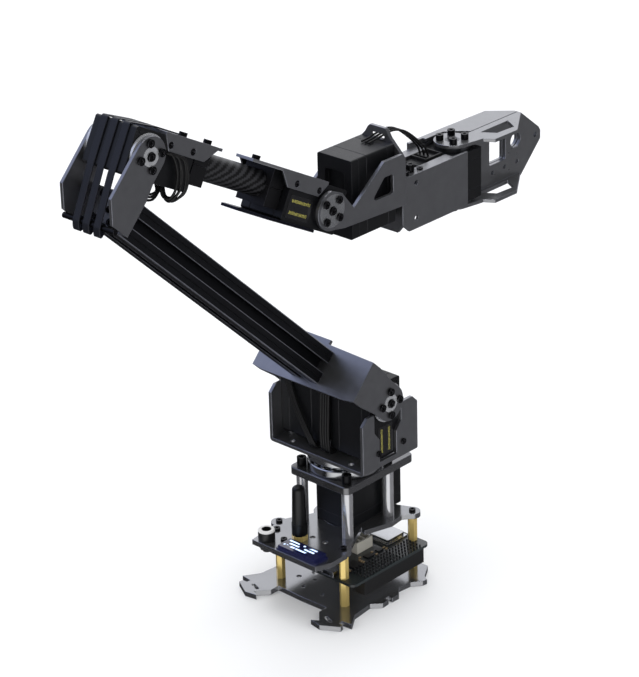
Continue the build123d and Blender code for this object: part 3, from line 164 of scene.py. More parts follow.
def make_detail_group():
    """The effects that the materials share. Grain is fine noise, and Blotch is broad noise whose scale is the
    grain's times the blotch share. Edge is 1 minus the dot product of the rounded and the flat normal, times
    a rub that follows the blotches, and it runs from 0 at the faint value to 1 at the full one. It places the
    edge colour, which is partly wear and partly a painted edge highlight. Normal is the rounded normal, with
    the grain as its bump."""
    group = bpy.data.node_groups.new("surface detail", "ShaderNodeTree")
    for name in ("Grain size", "Grain depth", "Edge radius"):
        group.interface.new_socket(name, in_out="INPUT", socket_type="NodeSocketFloat")
    for name, kind in (("Blotch", "Float"), ("Grain", "Float"), ("Edge", "Float"), ("Normal", "Vector")):
        group.interface.new_socket(name, in_out="OUTPUT", socket_type=f"NodeSocket{kind}")
    start = group.nodes.new("NodeGroupInput")
    end = group.nodes.new("NodeGroupOutput")
    place = object_place(group)
    fine_scale = calc(group, "DIVIDE", 1.0, start.outputs["Grain size"])
    fine = put(group, "ShaderNodeTexNoise", Vector=place, Scale=fine_scale, Detail=2.0)
    broad_scale = calc(group, "MULTIPLY", fine_scale, BLOTCH_SHARE)
    broad = put(group, "ShaderNodeTexNoise", Vector=place, Scale=broad_scale, Detail=4.0)
    bevel = put(group, "ShaderNodeBevel", {"samples": 4}, Radius=start.outputs["Edge radius"])
    flat = put(group, "ShaderNodeNewGeometry").outputs["Normal"]
    agree = put(group, "ShaderNodeVectorMath", {"operation": "DOT_PRODUCT"}, i0=bevel.outputs[0], i1=flat)
    bent = calc(group, "SUBTRACT", 1.0, agree.outputs["Value"])
    rub_and_highlight = calc(group, "MULTIPLY_ADD", broad.outputs[0], RUB_SPAN, RUB_LEAST)
    edge = put(group, "ShaderNodeMapRange", Value=calc(group, "MULTIPLY", bent, rub_and_highlight),
               From_Min=EDGE_FAINT, From_Max=EDGE_FULL)
    bump = put(group, "ShaderNodeBump", Strength=start.outputs["Grain depth"], Height=fine.outputs[0],
               Normal=bevel.outputs[0], Distance=GRAIN_HEIGHT)
    for name, socket in (("Blotch", broad.outputs[0]), ("Grain", fine.outputs[0]), ("Edge", edge.outputs[0]),
                         ("Normal", bump.outputs[0])):
        group.links.new(socket, end.inputs[name])
    return group


detail_group = make_detail_group()
DARKER, PALER = 0.8, 1.6


def surface(name, colour, metal=0.0, rough=0.5, grain=0.3, depth=0.3, edge_r=0.35, edge=None, edge_amount=0.5,
            spread=0.12, coat=0.0):
    """A material with the shared detail. grain and edge_r are in millimetres. The colour runs to a darker one
    by the blotches, and on the edges to the edge colour, which is partly wear and partly a painted edge
    highlight. The roughness is rough, give or take half the spread, by the blotches. Returns the material,
    its tree and its shader."""
    material = bpy.data.materials.new(name)
    material.use_nodes = True
    tree = material.node_tree
    shader = tree.nodes["Principled BSDF"]
    detail = put(tree, "ShaderNodeGroup", {"node_tree": detail_group}, Grain_size=grain * MM,
                 Grain_depth=depth, Edge_radius=edge_r * MM)
    blotch = detail.outputs["Blotch"]
    base = blend_colour(tree, blotch, tuple(DARKER * part for part in colour), colour)
    amount = calc(tree, "MULTIPLY", detail.outputs["Edge"], edge_amount)
    shown = blend_colour(tree, amount, base, edge or tuple(min(1, PALER * part) for part in colour))
    tree.links.new(shown, shader.inputs["Base Color"])
    tree.links.new(calc(tree, "MULTIPLY_ADD", blotch, spread, rough - spread / 2), shader.inputs["Roughness"])
    tree.links.new(detail.outputs["Normal"], shader.inputs["Normal"])
    shader.inputs["Metallic"].default_value = metal
    shader.inputs["Coat Weight"].default_value = coat
    return material, tree, shader


def finish(name, colour, **looks):
    """A surface with no pattern of its own."""
    return surface(name, colour, **looks)[0]


def fed_by(shader, name):
    """The output that feeds one of a shader's inputs."""
    return shader.inputs[name].links[0].from_socket


def wear(names, material):
    """Give a material to frame nodes."""
    for name in names.split():
        slots = nodes[name].data.materials
        slots.clear()
        slots.append(material)


# Sheet metal: dark anodised, with paler worn edges whose pale blue is partly a painted edge highlight
wear("shoulder_bracket shoulder_yoke elbow_bracket elbow_mount wrist_mount_top wrist_yoke gripper_bracket",
     finish("dark anodised sheet", SHEET_GREY, metal=0.95, rough=0.31, grain=0.18, depth=0.35, edge_r=0.45,
            edge=EDGE_PALE, edge_amount=0.55))
wear("moving_jaw fixed_jaw",
     finish("brushed jaw sheet", (0.38, 0.385, 0.40), metal=0.95, rough=0.30, grain=0.15, edge_r=0.45,
            edge=EDGE_PALE, edge_amount=0.6))
wear("base_plate deck_plate",
     finish("polished dark sheet", (0.40, 0.405, 0.42), metal=0.95, rough=0.17, grain=0.6, depth=0.05,
            edge=(0.60, 0.62, 0.70), edge_amount=0.75, spread=0.06))
wear("top_plate",
     finish("satin plate", (0.24, 0.24, 0.25), metal=0.92, rough=0.22, grain=0.25, depth=0.15, edge_r=0.5,
            edge=(0.5, 0.52, 0.6), edge_amount=0.6))
# The mount's underside sheet is near-black with a navy tint, far darker than its top sheet: painted shade below
# the mount
wear("wrist_mount_bottom",
     finish("underside sheet in painted shade", (0.014, 0.015, 0.026), metal=0.8, rough=0.36, grain=0.2, depth=0.2,
            edge_r=0.4, edge=(0.10, 0.11, 0.17)))
wear(" ".join(name for name in nodes if "clamp" in name),
     finish("black clamp block", (0.022, 0.022, 0.025), metal=0.7, rough=0.45, grain=0.25, edge_r=0.4,
            edge=(0.2, 0.2, 0.24), edge_amount=0.4))

# Turned and machined metal. The pieces that the photograph shows evenly bright have no grain and no worn edge.
wear("shoulder_horns elbow_horns wrist_horns roll_horn jaw_horns",
     finish("turned horn", (0.20, 0.205, 0.22), metal=1.0, rough=0.30, grain=0.2, edge_r=0.3, edge=STEEL))
wear("deck_ring ring_balls lower_race upper_race drive_hub data_port radio_module",
     finish("bright steel", STEEL, metal=1.0, rough=0.20, grain=0.25, depth=0.12, edge_r=0.3,
            edge=(0.85, 0.86, 0.9), spread=0.08))
wear("steel_columns",
     finish("turned column steel", (0.74, 0.74, 0.77), metal=0.82, rough=0.17, grain=0.25, depth=0.0,
            edge_r=0.1, edge_amount=0.0, spread=0.04))
wear("lower_posts upper_posts antenna_socket",
     finish("brass", BRASS, metal=0.55, rough=0.2, depth=0.0, edge_r=0.1, edge_amount=0.0, spread=0.06,
            coat=0.3))
oxide_steel = finish("black screw steel", OXIDE, metal=0.9, rough=0.30, grain=0.2, depth=0.2, edge_r=0.25,
                     edge=(0.25, 0.25, 0.28), edge_amount=0.7)
wear("band_pin " + " ".join(name for name in nodes if name.endswith("_screws")), oxide_steel)

# Moulded parts and rubber
wear("base_servo shoulder_servo_right shoulder_servo_left elbow_servo wrist_servo roll_servo gripper_servo "
     "roll_cover",
     finish("servo case", CASE_BLACK, rough=0.42, grain=0.35, depth=0.45, edge_r=0.5,
            edge=(0.03, 0.032, 0.042), edge_amount=0.7))
header_plastic = finish("header plastic", KNOB_BLACK, rough=0.5, edge_r=0.3)
wear("pin_header", header_plastic)
pale_plastic = finish("pale socket plastic", (0.62, 0.60, 0.54), rough=0.5, edge_r=0.3, edge=(0.8, 0.78, 0.72))
wear("wire_sockets", pale_plastic)
wear("antenna " + " ".join(name for name in nodes if "leads" in name),
     finish("antenna rubber", SOFT_BLACK, rough=0.36, grain=0.4, depth=0.25, edge_r=0.4, edge_amount=0.0))
band_rubber = finish("band rubber", NAVY_BLACK, rough=0.46, grain=0.5, depth=0.5, edge_r=0.3,
                     edge=(0.02, 0.024, 0.05), edge_amount=0.6)
wear("elastic_bands", band_rubber)


def tube_material():
    """Woven carbon under clear coat: a two-by-two twill of tows laid along and round the tube. A tow is on top
    where its column and row, added up, leave 0 or 1 when divided by 4. The row comes from the angle round
    the tube times its radius."""
    material, tree, shader = surface("woven carbon", (0.02, 0.02, 0.022), metal=0.2, rough=0.42, coat=0.12)
    tow, weave_height = 1.45 * MM, 0.1 * MM
    under, on_top = (0.0025, 0.0025, 0.003), (0.034, 0.034, 0.038)
    centre = ELBOW + FORE_UP * TUBE_RISE
    place = object_place(tree)
    along = along_way(tree, place, centre, FORE)
    rise = along_way(tree, place, centre, FORE_UP)
    side = put(tree, "ShaderNodeSeparateXYZ", i0=place).outputs["Y"]
    around = calc(tree, "MULTIPLY", calc(tree, "ARCTAN2", rise, side), TUBE_R)
    column = calc(tree, "FLOOR", calc(tree, "DIVIDE", along, tow))
    row = calc(tree, "FLOOR", calc(tree, "DIVIDE", around, tow))
    step = calc(tree, "FLOORED_MODULO", calc(tree, "ADD", column, row), 4.0)
    over = calc(tree, "LESS_THAN", step, 1.5)
    tree.links.new(blend_colour(tree, over, under, on_top), shader.inputs["Base Color"])
    lift = put(tree, "ShaderNodeBump", Strength=0.25, Distance=weave_height, Height=over,
               Normal=fed_by(shader, "Normal"))
    tree.links.new(lift.outputs[0], shader.inputs["Normal"])
    return material


def board_material():
    """Black solder mask with paler copper runs, which are a brick pattern's joints, and bare pads, which are
    the middles of evenly set cells wherever a broad noise is high."""
    material, tree, shader = surface("circuit board", MASK_BLACK, rough=0.30, coat=0.4)
    runs_scale, pads_scale, groups_scale = 160.0, 420.0, 90.0
    pad_size, group_least = 0.22, 0.58
    place = object_place(tree)
    runs = put(tree, "ShaderNodeTexBrick", Vector=place, Scale=runs_scale, Mortar_Size=0.03,
               Color1=(*MASK_BLACK, 1), Color2=(0.010, 0.013, 0.014, 1), Mortar=(0.022, 0.030, 0.032, 1))
    pads = put(tree, "ShaderNodeTexVoronoi", Vector=place, Scale=pads_scale, Randomness=0.15)
    dots = calc(tree, "LESS_THAN", pads.outputs["Distance"], pad_size)
    groups = put(tree, "ShaderNodeTexNoise", Vector=place, Scale=groups_scale)
    bare = calc(tree, "MULTIPLY", dots, calc(tree, "GREATER_THAN", groups.outputs[0], group_least))
    colour = blend_colour(tree, bare, runs.outputs["Color"], (0.35, 0.33, 0.28))
    tree.links.new(colour, shader.inputs["Base Color"])
    tree.links.new(bare, shader.inputs["Metallic"])
    return material


def display_material():
    """A dark glass face with plain glowing bars: every other stripe in X, broken up by noise, inside a box a
    little smaller than the face."""
    material, tree, shader = surface("display glass", (0.010, 0.012, 0.055), rough=0.10, coat=0.8)
    rim, skin, bar_pitch, glow_strength = 1.6 * MM, 0.3 * MM, 2.6 * MM, 2.2
    low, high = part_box("display_module")
    place = object_place(tree)
    parts = put(tree, "ShaderNodeSeparateXYZ", i0=place).outputs
    lit = calc(tree, "GREATER_THAN", calc(tree, "FRACT", calc(tree, "DIVIDE", parts["X"], bar_pitch)), 0.5)
    patches = put(tree, "ShaderNodeTexNoise", Vector=place, Scale=420.0, Detail=0.0)
    lit = calc(tree, "MULTIPLY", lit, calc(tree, "GREATER_THAN", patches.outputs[0], 0.46))
    for part, least, most in ((parts["X"], low[0] + rim, high[0] - rim),
                              (parts["Y"], low[1] + 4 * rim, high[1] - 2 * rim),
                              (parts["Z"], high[2] - skin, high[2] + skin)):
        lit = calc(tree, "MULTIPLY", lit, between(tree, part, least, most))
    tree.links.new(blend_colour(tree, lit, (0.0, 0.0, 0.0), SCREEN_BLUE), shader.inputs["Emission Color"])
    shader.inputs["Emission Strength"].default_value = glow_strength
    return material


def knob_material():
    """Black moulded cap with a white band round it: the top millimetre, outside a radius of 2.8 mm, which is
    the root of x squared plus y squared from the knob's middle."""
    material, tree, shader = surface("knob", KNOB_BLACK, rough=0.35, edge_r=0.4)
    band_r, band_depth = 2.8 * MM, 1.0 * MM
    low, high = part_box("corner_knob")
    centre = ((low[0] + high[0]) / 2, (low[1] + high[1]) / 2, high[2])
    offset = put(tree, "ShaderNodeVectorMath", {"operation": "SUBTRACT"}, i0=object_place(tree), i1=centre)
    parts = put(tree, "ShaderNodeSeparateXYZ", i0=offset.outputs[0]).outputs
    across = calc(tree, "SQRT", calc(tree, "ADD", calc(tree, "POWER", parts["X"], 2.0),
                                     calc(tree, "POWER", parts["Y"], 2.0)))
    band = calc(tree, "MULTIPLY", calc(tree, "GREATER_THAN", across, band_r),
                calc(tree, "GREATER_THAN", parts["Z"], -band_depth))
    colour = blend_colour(tree, band, fed_by(shader, "Base Color"), (0.7, 0.7, 0.7))
    tree.links.new(colour, shader.inputs["Base Color"])
    return material


def profile_material():
    """Black anodised extrusion with a fine pale line painted along its slot lips and corners: a painted highlight.
    The line is where the side and the rise from the middle both pass the corner, or where one is near the
    face and the other lies in the lip's narrow strip. The side is Y, and the rise is the distance across the arm."""
    material, tree, shader = surface("black anodised profile", (0.020, 0.021, 0.025), metal=0.8, rough=0.34,
                                     grain=0.2, depth=0.04, edge_r=0.25, edge_amount=0.0)
    face, lip, lip_end, corner = 9.8 * MM, 2.85 * MM, 3.3 * MM, 9.3 * MM
    rub_and_highlight, highlight_amount = (0.34, 0.35, 0.40), 0.75
    place = object_place(tree)
    rise = calc(tree, "ABSOLUTE", along_way(tree, place, SHOULDER, UPPER_OUT))
    side = calc(tree, "ABSOLUTE", put(tree, "ShaderNodeSeparateXYZ", i0=place).outputs["Y"])
    mask = calc(tree, "MULTIPLY", calc(tree, "GREATER_THAN", rise, corner),
                calc(tree, "GREATER_THAN", side, corner))
    for out, across in ((rise, side), (side, rise)):
        strip = calc(tree, "MULTIPLY", between(tree, across, lip, lip_end), calc(tree, "GREATER_THAN", out, face))
        mask = calc(tree, "MAXIMUM", mask, strip)
    # The pale line is a painted highlight on the slot lips and corners
    colour = blend_colour(tree, calc(tree, "MULTIPLY", mask, highlight_amount), fed_by(shader, "Base Color"), rub_and_highlight)
    tree.links.new(colour, shader.inputs["Base Color"])
    return material


wear("arm_profile", profile_material())
wear("forearm_tube", tube_material())
wear("controller_board", board_material())
wear("display_module", display_material())
wear("corner_knob", knob_material())


def label_material():
    """A black label with plain amber bars, drawn on the piece's own map: two rows, each the middle quarter of
    its half, broken up by noise, and inset from the label's ends."""
    material, tree, shader = surface("servo label", (0.006, 0.006, 0.007), rough=0.22, coat=0.5)
    rows, half_row, half_length = 2.0, 0.13, 0.4
    flat = put(tree, "ShaderNodeUVMap", {"uv_map": "flat"}).outputs[0]
    parts = put(tree, "ShaderNodeSeparateXYZ", i0=flat).outputs
    from_row = calc(tree, "SUBTRACT", calc(tree, "FRACT", calc(tree, "MULTIPLY", parts["Y"], rows)), 0.5)
    in_row = calc(tree, "LESS_THAN", calc(tree, "ABSOLUTE", from_row), half_row)
    strokes = put(tree, "ShaderNodeTexNoise", {"noise_dimensions": "2D"}, Scale=34.0, Detail=0.0, Vector=flat)
    inked = calc(tree, "GREATER_THAN", strokes.outputs[0], 0.5)
    from_middle = calc(tree, "ABSOLUTE", calc(tree, "SUBTRACT", parts["X"], 0.5))
    inset = calc(tree, "LESS_THAN", from_middle, half_length)
    mask = calc(tree, "MULTIPLY", calc(tree, "MULTIPLY", in_row, inked), inset)
    colour = blend_colour(tree, mask, fed_by(shader, "Base Color"), LABEL_AMBER)
    tree.links.new(colour, shader.inputs["Base Color"])
    return material


def make_piece(name, points, faces, material, body=None, smooth=False):
    """A new object from an array of points and a list of faces, with one material. It rides on a body where one
    is given."""
    mesh = bpy.data.meshes.new(name)
    mesh.from_pydata(points.reshape(-1, 3).tolist(), [], faces)
    mesh.polygons.foreach_set("use_smooth", np.full(len(mesh.polygons), smooth))
    mesh.materials.append(material)
    piece = bpy.data.objects.new(name, mesh)
    bpy.context.scene.collection.objects.link(piece)
    if body:
        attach(piece, body)
    return piece


def capped_skin(points):
    """The faces over runs of rings of points: four-sided between each ring and the next, and one flat face over
    each end of a run. A ring turns counterclockwise as its run comes towards the eye, so faces look outwards."""
    number = np.arange(points[..., 0].size).reshape(points.shape[:3])
    beside = np.roll(number, -1, axis=2)
    sides = np.stack((number[:, :-1], beside[:, :-1], beside[:, 1:], number[:, 1:]), axis=-1)
    return sides.reshape(-1, 4).tolist() + number[:, 0, ::-1].tolist() + number[:, -1].tolist()


LABEL_CORNER = 1.0 * MM
LABEL_T = 0.12 * MM
CORNER_STEPS = 5


def label(name, centre, along, up, width, height, body):
    """A thin label on a servo's face. along and up are unit ways in the face. Its rim is four quarter circles,
    each at the cosine and sine of its angle times the corner's radius from a middle that lies this radius
    inside the sheet's corner. The rim is repeated one thickness out, and the map is the rim over the size."""
    angle = (np.arange(4)[:, None] * pi / 2 + np.linspace(0, pi / 2, CORNER_STEPS)).ravel()
    middles = np.repeat(((1, 1), (-1, 1), (-1, -1), (1, -1)), CORNER_STEPS, axis=0)
    size = np.array((width, height))
    rim = middles * (size / 2 - LABEL_CORNER) + LABEL_CORNER * np.stack((np.cos(angle), np.sin(angle)), axis=-1)
    sheet = centre + rim @ (along, up)
    points = np.array([[sheet, sheet + np.cross(along, up) * LABEL_T]])
    piece = make_piece(name, points, capped_skin(points), label_stock, body)
    corners = np.empty(len(piece.data.loops), np.int32)
    piece.data.loops.foreach_get("vertex_index", corners)
    flat = piece.data.uv_layers.new(name="flat")
    flat.data.foreach_set("uv", (rim[corners % len(rim)] / size + 0.5).ravel())


label_stock = label_material()
WRIST_LABEL = ELBOW + FORE * 123 * MM - FORE_UP * 4.0 * MM - SIDE_WAY * SERVO_D / 2
SHOULDER_LABEL = np.array((-2.5 * MM, -SHOULDER_Y, 99 * MM))
label("wrist_servo_label", WRIST_LABEL, FORE, FORE_UP, 19 * MM, 12.5 * MM, "forearm")
label("shoulder_servo_label", SHOULDER_LABEL, UP_WAY, np.array((-1.0, 0.0, 0.0)), 18 * MM, 12 * MM, "turret")


def rounded_path(corners, reach=1.2 * MM, steps=5):
    """The corners as a path whose turns are eased. Each turn runs from first to last, which lie one reach
    before and after the corner, as first (1 - t)² + corner 2t (1 - t) + last t², for t from 0 to 1."""
    corner = corners[1:-1, None]
    first = corner + unit(corners[:-2, None] - corner) * reach
    last = corner + unit(corners[2:, None] - corner) * reach
    t = np.linspace(0, 1, steps)[:, None]
    turns = first * (1 - t) ** 2 + corner * 2 * t * (1 - t) + last * t ** 2
    return np.vstack((corners[:1], turns.reshape(-1, 3), corners[-1:]))


BAND_TRIM = 0.2 * MM


def strips(name, path, starts, ends, width, thick, material):
    """Flat bands that follow one path in XZ. Each point is the path's, plus the section's rise times the way
    out of the path, plus in Y the section's side and the band's middle, which moves evenly from its start
    to its end. The section is a rectangle with its corners trimmed off."""
    half_w, half_t, trim = width / 2, thick / 2, BAND_TRIM
    side, rise = np.array((
        (-half_w, -half_t + trim), (-half_w + trim, -half_t), (half_w - trim, -half_t), (half_w, -half_t + trim),
        (half_w, half_t - trim), (half_w - trim, half_t), (-half_w + trim, half_t), (-half_w, half_t - trim))).T
    out = quarter_turn(unit(np.gradient(path, axis=0)))
    middle = starts[:, None] + (ends - starts)[:, None] * np.linspace(0, 1, len(path))
    points = path[:, None] + out[:, None] * rise[:, None] + (middle[..., None] + side)[..., None] * SIDE_WAY
    return make_piece(name, points, capped_skin(points), material)


# Elastic bands from the mount, round the servo's back, to the pin
SHAFT_END = 11.35 * MM
MOUNT_T = 1.6 * MM
MOUNT_FAR, MOUNT_NEAR = 24 * MM, 7.7 * MM
BAND_T = 0.8 * MM
BAND_W = 4.6 * MM
BAND_PITCH = 8.0 * MM
BAND_DRIFT = 0.6 * MM
PIN_CROWDING = 0.86
LOOSE_END = 1.3
pin_low, pin_high = np.array(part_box("band_pin"))
pin = (pin_low + pin_high) / 2 * (1, 0, 1)
lift = BAND_T / 2 + 0.1 * MM
pin_turn_r = (pin_high[2] - pin_low[2]) / 2 + lift
over = SERVO_W / 2 + MOUNT_T + lift
beside = SERVO_W / 2 + lift
behind = -SHAFT_END - lift
corners = ELBOW + np.array(((MOUNT_FAR, over), (MOUNT_NEAR, over), (behind, beside), (behind, -beside))) @ (
    FORE, FORE_UP)
low_corner = corners[-1]
drop = unit(pin - low_corner)
tangent = -quarter_turn(drop)
corners = np.vstack((corners, pin + tangent * pin_turn_r))
turn = np.linspace(0.25, 4.6, 20)[:, None]
hang = 1 + LOOSE_END * np.maximum(0, np.sin(turn))
round_pin = pin + (tangent * np.cos(turn) + drop * np.sin(turn) * hang) * pin_turn_r
band_side = np.arange(-1, 2)
bands = strips("elastic_bands_soft", np.vstack((rounded_path(corners), round_pin)),
               band_side * BAND_PITCH + BAND_DRIFT * (band_side == 0), band_side * BAND_PITCH * PIN_CROWDING,
               BAND_W, BAND_T, band_rubber)
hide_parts("elastic_bands")
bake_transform(bands)


def tubes(name, routes, radius, material, steps=7, sides=8):
    """Round leads as one piece. Between two points b and c of a route, with a before them and d after them, the
    middle line is half of 2b + (c - a) t + (2a - 5b + 4c - d) t² + (3b - a - 3c + d) t³, for t from 0 to 1.
    A ring of points stands round each place of the line, at the cosine and sine of equal turns times the
    radius, along two ways square to the line. The first way is the last place's, less its share along the
    line, and the second is square to both."""
    before, beyond = 2 * routes[:, :1] - routes[:, 1:2], 2 * routes[:, -1:] - routes[:, -2:-1]
    ends = np.concatenate((before, routes, beyond), axis=1)
    a, b, c, d = (ends[:, i:i + routes.shape[1] - 1, None] for i in range(4))
    t = np.linspace(0, 1, steps, endpoint=False)[:, None]
    line = (2 * b + (c - a) * t + (2 * a - 5 * b + 4 * c - d) * t ** 2 + (3 * b - a - 3 * c + d) * t ** 3) / 2
    line = np.concatenate((line.reshape(len(routes), -1, 3), routes[:, -1:]), axis=1)
    way = unit(np.gradient(line, axis=1))
    side = np.empty_like(way)
    carried = np.array([Vector(start).orthogonal() for start in way[:, 0]])
    for i in range(line.shape[1]):
        share = np.sum(carried * way[:, i], axis=-1, keepdims=True)
        carried = side[:, i] = unit(carried - way[:, i] * share)
    turn = np.linspace(0, 2 * pi, sides, endpoint=False)[:, None]
    ring = np.cos(turn) * side[:, :, None] + np.sin(turn) * np.cross(way, side)[:, :, None]
    points = line[:, :, None] + ring * radius
    return make_piece(name, points, capped_skin(points), material, smooth=True)


def fan(first, step, counts, sway=0.0, strays=0.0):
    """Routes of several leads, in metres, from tables in millimetres. Each point is the first table's, plus the
    step times the lead's count, plus the sway times its stray."""
    counts, strays = (np.reshape(numbers, (-1, 1, 1)) for numbers in (counts, strays))
    return (np.array(first) + counts * np.array(step) + strays * np.array(sway)) * MM


def on_forearm(places):
    """Places given along and across the forearm and in Y, in the frame's own axes: the elbow plus each number
    times its way."""
    return ELBOW + places @ (FORE, FORE_UP, SIDE_WAY)


# Leads, looser than the solids that they stand for. The tables are in millimetres.
lead_black = finish("lead sleeve", SOFT_BLACK, rough=0.52, depth=0.2, edge_r=0.1, edge_amount=0.0)
STRAY = (0.0, 0.9, -0.7, 0.6, -0.4)
elbow_loops = tubes("elbow_lead_loops", on_forearm(fan(
    ((13.5, 3.8, -14.7), (16.6, 3.4, -16.8), (22.5, -3.4, -17.4), (25, -12, -17.2), (25.6, -17.2, -14.6),
     (24.2, -17, -11), (22.5, -12.5, -9)),
    ((1.7, 0, 0), (1.9, 0, -0.4), (1.6, 0, -0.4), (1.5, 0, -0.3), (1.4, 0, 0.4), (1.3, 0, 0.6), (1.6, 0, 1)),
    range(5),
    ((0, 0, 0), (1, 0, 0), (0, 1, 0), (1, 0, 0), (0, -1.2, 0), (1, -0.6, 0), (0, 0, 0)),
    STRAY)), 0.72 * MM, lead_black)
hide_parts("elbow_leads")
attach(elbow_loops, "forearm")
tails_on_servo = on_forearm(fan(
    ((20, -12.5, -8), (19, -15.4, -10.6), (14, -17.6, -12.6), (7, -19, -13.6)),
    ((1, 0, -1), (1, 0, 0), (1, -1.2, 0), (0, -1.6, 0.3)), range(3),
    ((0, 0, 0), (0, -1, 0), (0, 0, 0), (0, 0, 0)), STRAY[:3]))
tails_at_profile = fan(((-157.4, -13.6, 282.2), (-162.4, -12.4, 279), (-166.5, -11, 277.2)),
                       ((0, 0.5, -1.8), (0, 0.4, -1.5), (0, 0, -1.2)), range(3))
elbow_tails = tubes("elbow_lead_tails", np.concatenate((tails_on_servo, tails_at_profile), axis=1), 0.66 * MM,
                    lead_black)
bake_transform(elbow_tails)
left_runs = fan(((-16.3, 27, 123.5), (-17.4, 21.5, 112), (-18.2, 14, 100), (-18, 8.6, 91.5), (-16.8, 7, 87.7),
                 (-12.2, 5.4, 87.6)), (0, 1, 0), (-1.7, 0, 1.7))
right_runs = fan(((-16.3, -1.5, 123.5), (-17.2, -1.8, 112), (-18, -2, 100), (-18, -2.4, 91.5),
                  (-16.6, -2.6, 87.7), (-12.2, -2.8, 87.6)), (0, 1, 0), (-2.7, -0.9, 0.9, 2.7))
shoulder_runs = tubes("shoulder_lead_runs", np.concatenate((left_runs, right_runs)), 0.88 * MM, lead_black)
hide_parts("shoulder_leads")
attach(shoulder_runs, "turret")
hand_arch = tubes("hand_lead_arch", fan(
    ((22, 0, 257.7), (28, 0, 258.2), (33.5, 0, 258.9), (41, -0.5, 259.8), (50, -0.6, 256.8), (61, 0.2, 248.6),
     (69.5, 1.4, 240.6), (72.5, 2, 235.2)),
    ((0, 1, 0), (0, 1, 0), (0, 1.05, 0), (0, 1.2, 0), (0, 1.3, 0), (0, 1.3, 0), (0, 1.2, 0), (0, 1.2, 0)),
    (-2.4, 0.0, 2.4)), 0.62 * MM, lead_black)
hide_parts("hand_leads")
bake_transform(hand_arch)

CUBE_CORNERS = np.array(((-1, -1, -1), (1, -1, -1), (1, 1, -1), (-1, 1, -1),
                         (-1, -1, 1), (1, -1, 1), (1, 1, 1), (-1, 1, 1)))
CUBE_FACES = np.array(((0, 3, 2, 1), (4, 5, 6, 7), (0, 1, 5, 4), (1, 2, 6, 5), (2, 3, 7, 6), (3, 0, 4, 7)))


def blocks(name, boxes, material, body):
    """Small square parts as one piece. A box is its middle and its full size, in millimetres, and each of its
    corners is the middle plus or minus half the size."""
    boxes = np.array(boxes, float)
    points = (boxes[:, :1] + boxes[:, 1:] / 2 * CUBE_CORNERS) * MM
    faces = CUBE_FACES + len(CUBE_CORNERS) * np.arange(len(boxes))[:, None, None]
    return make_piece(name, points, faces.reshape(-1, 4).tolist(), material, body)


# Small parts on the controller board, in millimetres
BOARD_TOP = 20.2
PIN_PITCH, PIN_COLUMNS, PIN_ROWS = 2.45, 20, 5
PIN_MIDDLE_X, PIN_FIRST_Y = 2.0, -33.2
PIN_W, PIN_H = 0.75, 1.4
PASSIVE = (1.6, 0.8, 0.7)
header_pins = [((PIN_MIDDLE_X + (i - (PIN_COLUMNS - 1) / 2) * PIN_PITCH, PIN_FIRST_Y + row * PIN_PITCH,
                 BOARD_TOP + PIN_H / 2), (PIN_W, PIN_W, PIN_H))
               for i in range(PIN_COLUMNS) for row in range(PIN_ROWS)]
chips = [((x, y, BOARD_TOP + height / 2), (length, width, height)) for x, y, length, width, height in (
    (-15, -19, 7, 7, 1.0), (-2, -18.5, 5, 4, 0.9), (7, -18.5, 4, 3, 0.8), (-16, -6, 9, 9, 1.0))]
passives = [((x, y, BOARD_TOP + PASSIVE[2] / 2), PASSIVE) for x, y in (
    (-9, -21), (-9, -19.5), (-9, -18), (-6.5, -16), (2.5, -20.5), (2.5, -17), (11, -20.5), (11, -18.5), (-21, -22),
    (-21, -20.5), (-8, -9), (-8, -6), (-8, -3))]
# The pins are dark, with a pale edge colour that is a painted highlight on their edges
blocks("board_pins", header_pins,
       finish("pin tips", (0.05, 0.05, 0.055), metal=0.6, rough=0.3, grain=0.2, edge_r=0.1,
              edge=(0.5, 0.5, 0.52)), "base")
blocks("board_chips", chips,
       finish("chip plastic", (0.008, 0.008, 0.009), rough=0.4, grain=0.2, edge_r=0.15), "base")
blocks("board_passives", passives,
       finish("tan ceramic", (0.30, 0.22, 0.13), rough=0.45, grain=0.2, edge_r=0.1), "base")

# The socket that the hand's leads plug into, and the small wire socket on the board, in millimetres
GRIP_TOP = 233.5
GRIP_SOCKET_Y = 1.5
RIM_T, RIM_H = 1.0, 1.8
PLUG_H = 1.6
grip_rim_z = GRIP_TOP + RIM_H / 2
grip_socket = [((74, y, grip_rim_z), (14, RIM_T, RIM_H)) for y in (-3.6, 6.6)]
grip_socket += [((x, GRIP_SOCKET_Y, grip_rim_z), (RIM_T, 9.2, RIM_H)) for x in (67.5, 80.5)]
grip_socket += [((72.5, GRIP_SOCKET_Y, GRIP_TOP + PLUG_H / 2), (4.0, 8.4, PLUG_H))]
blocks("grip_lead_socket", grip_socket, header_plastic, "hand")
SOCKET_X, SOCKET_Y = 2.0, -7.5
WALL_H, RIB_H, FLOOR_H = 6.8, 6.4, 2.0
wire_walls = [((SOCKET_X, SOCKET_Y + y, BOARD_TOP + WALL_H / 2), (13, 1.1, WALL_H)) for y in (-4.2, 4.2)]
wire_walls += [((SOCKET_X + x, SOCKET_Y, BOARD_TOP + RIB_H / 2), (0.9, 7.4, RIB_H))
               for x in (-6.05, -2.0, 2.0, 6.05)]
wire_walls += [((SOCKET_X, SOCKET_Y, BOARD_TOP + FLOOR_H / 2), (12, 7.4, FLOOR_H))]
wire_socket = blocks("wire_socket_open", wire_walls, pale_plastic, "base")
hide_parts("wire_sockets")

TURN_STEPS = 36
CREASE = radians(35)


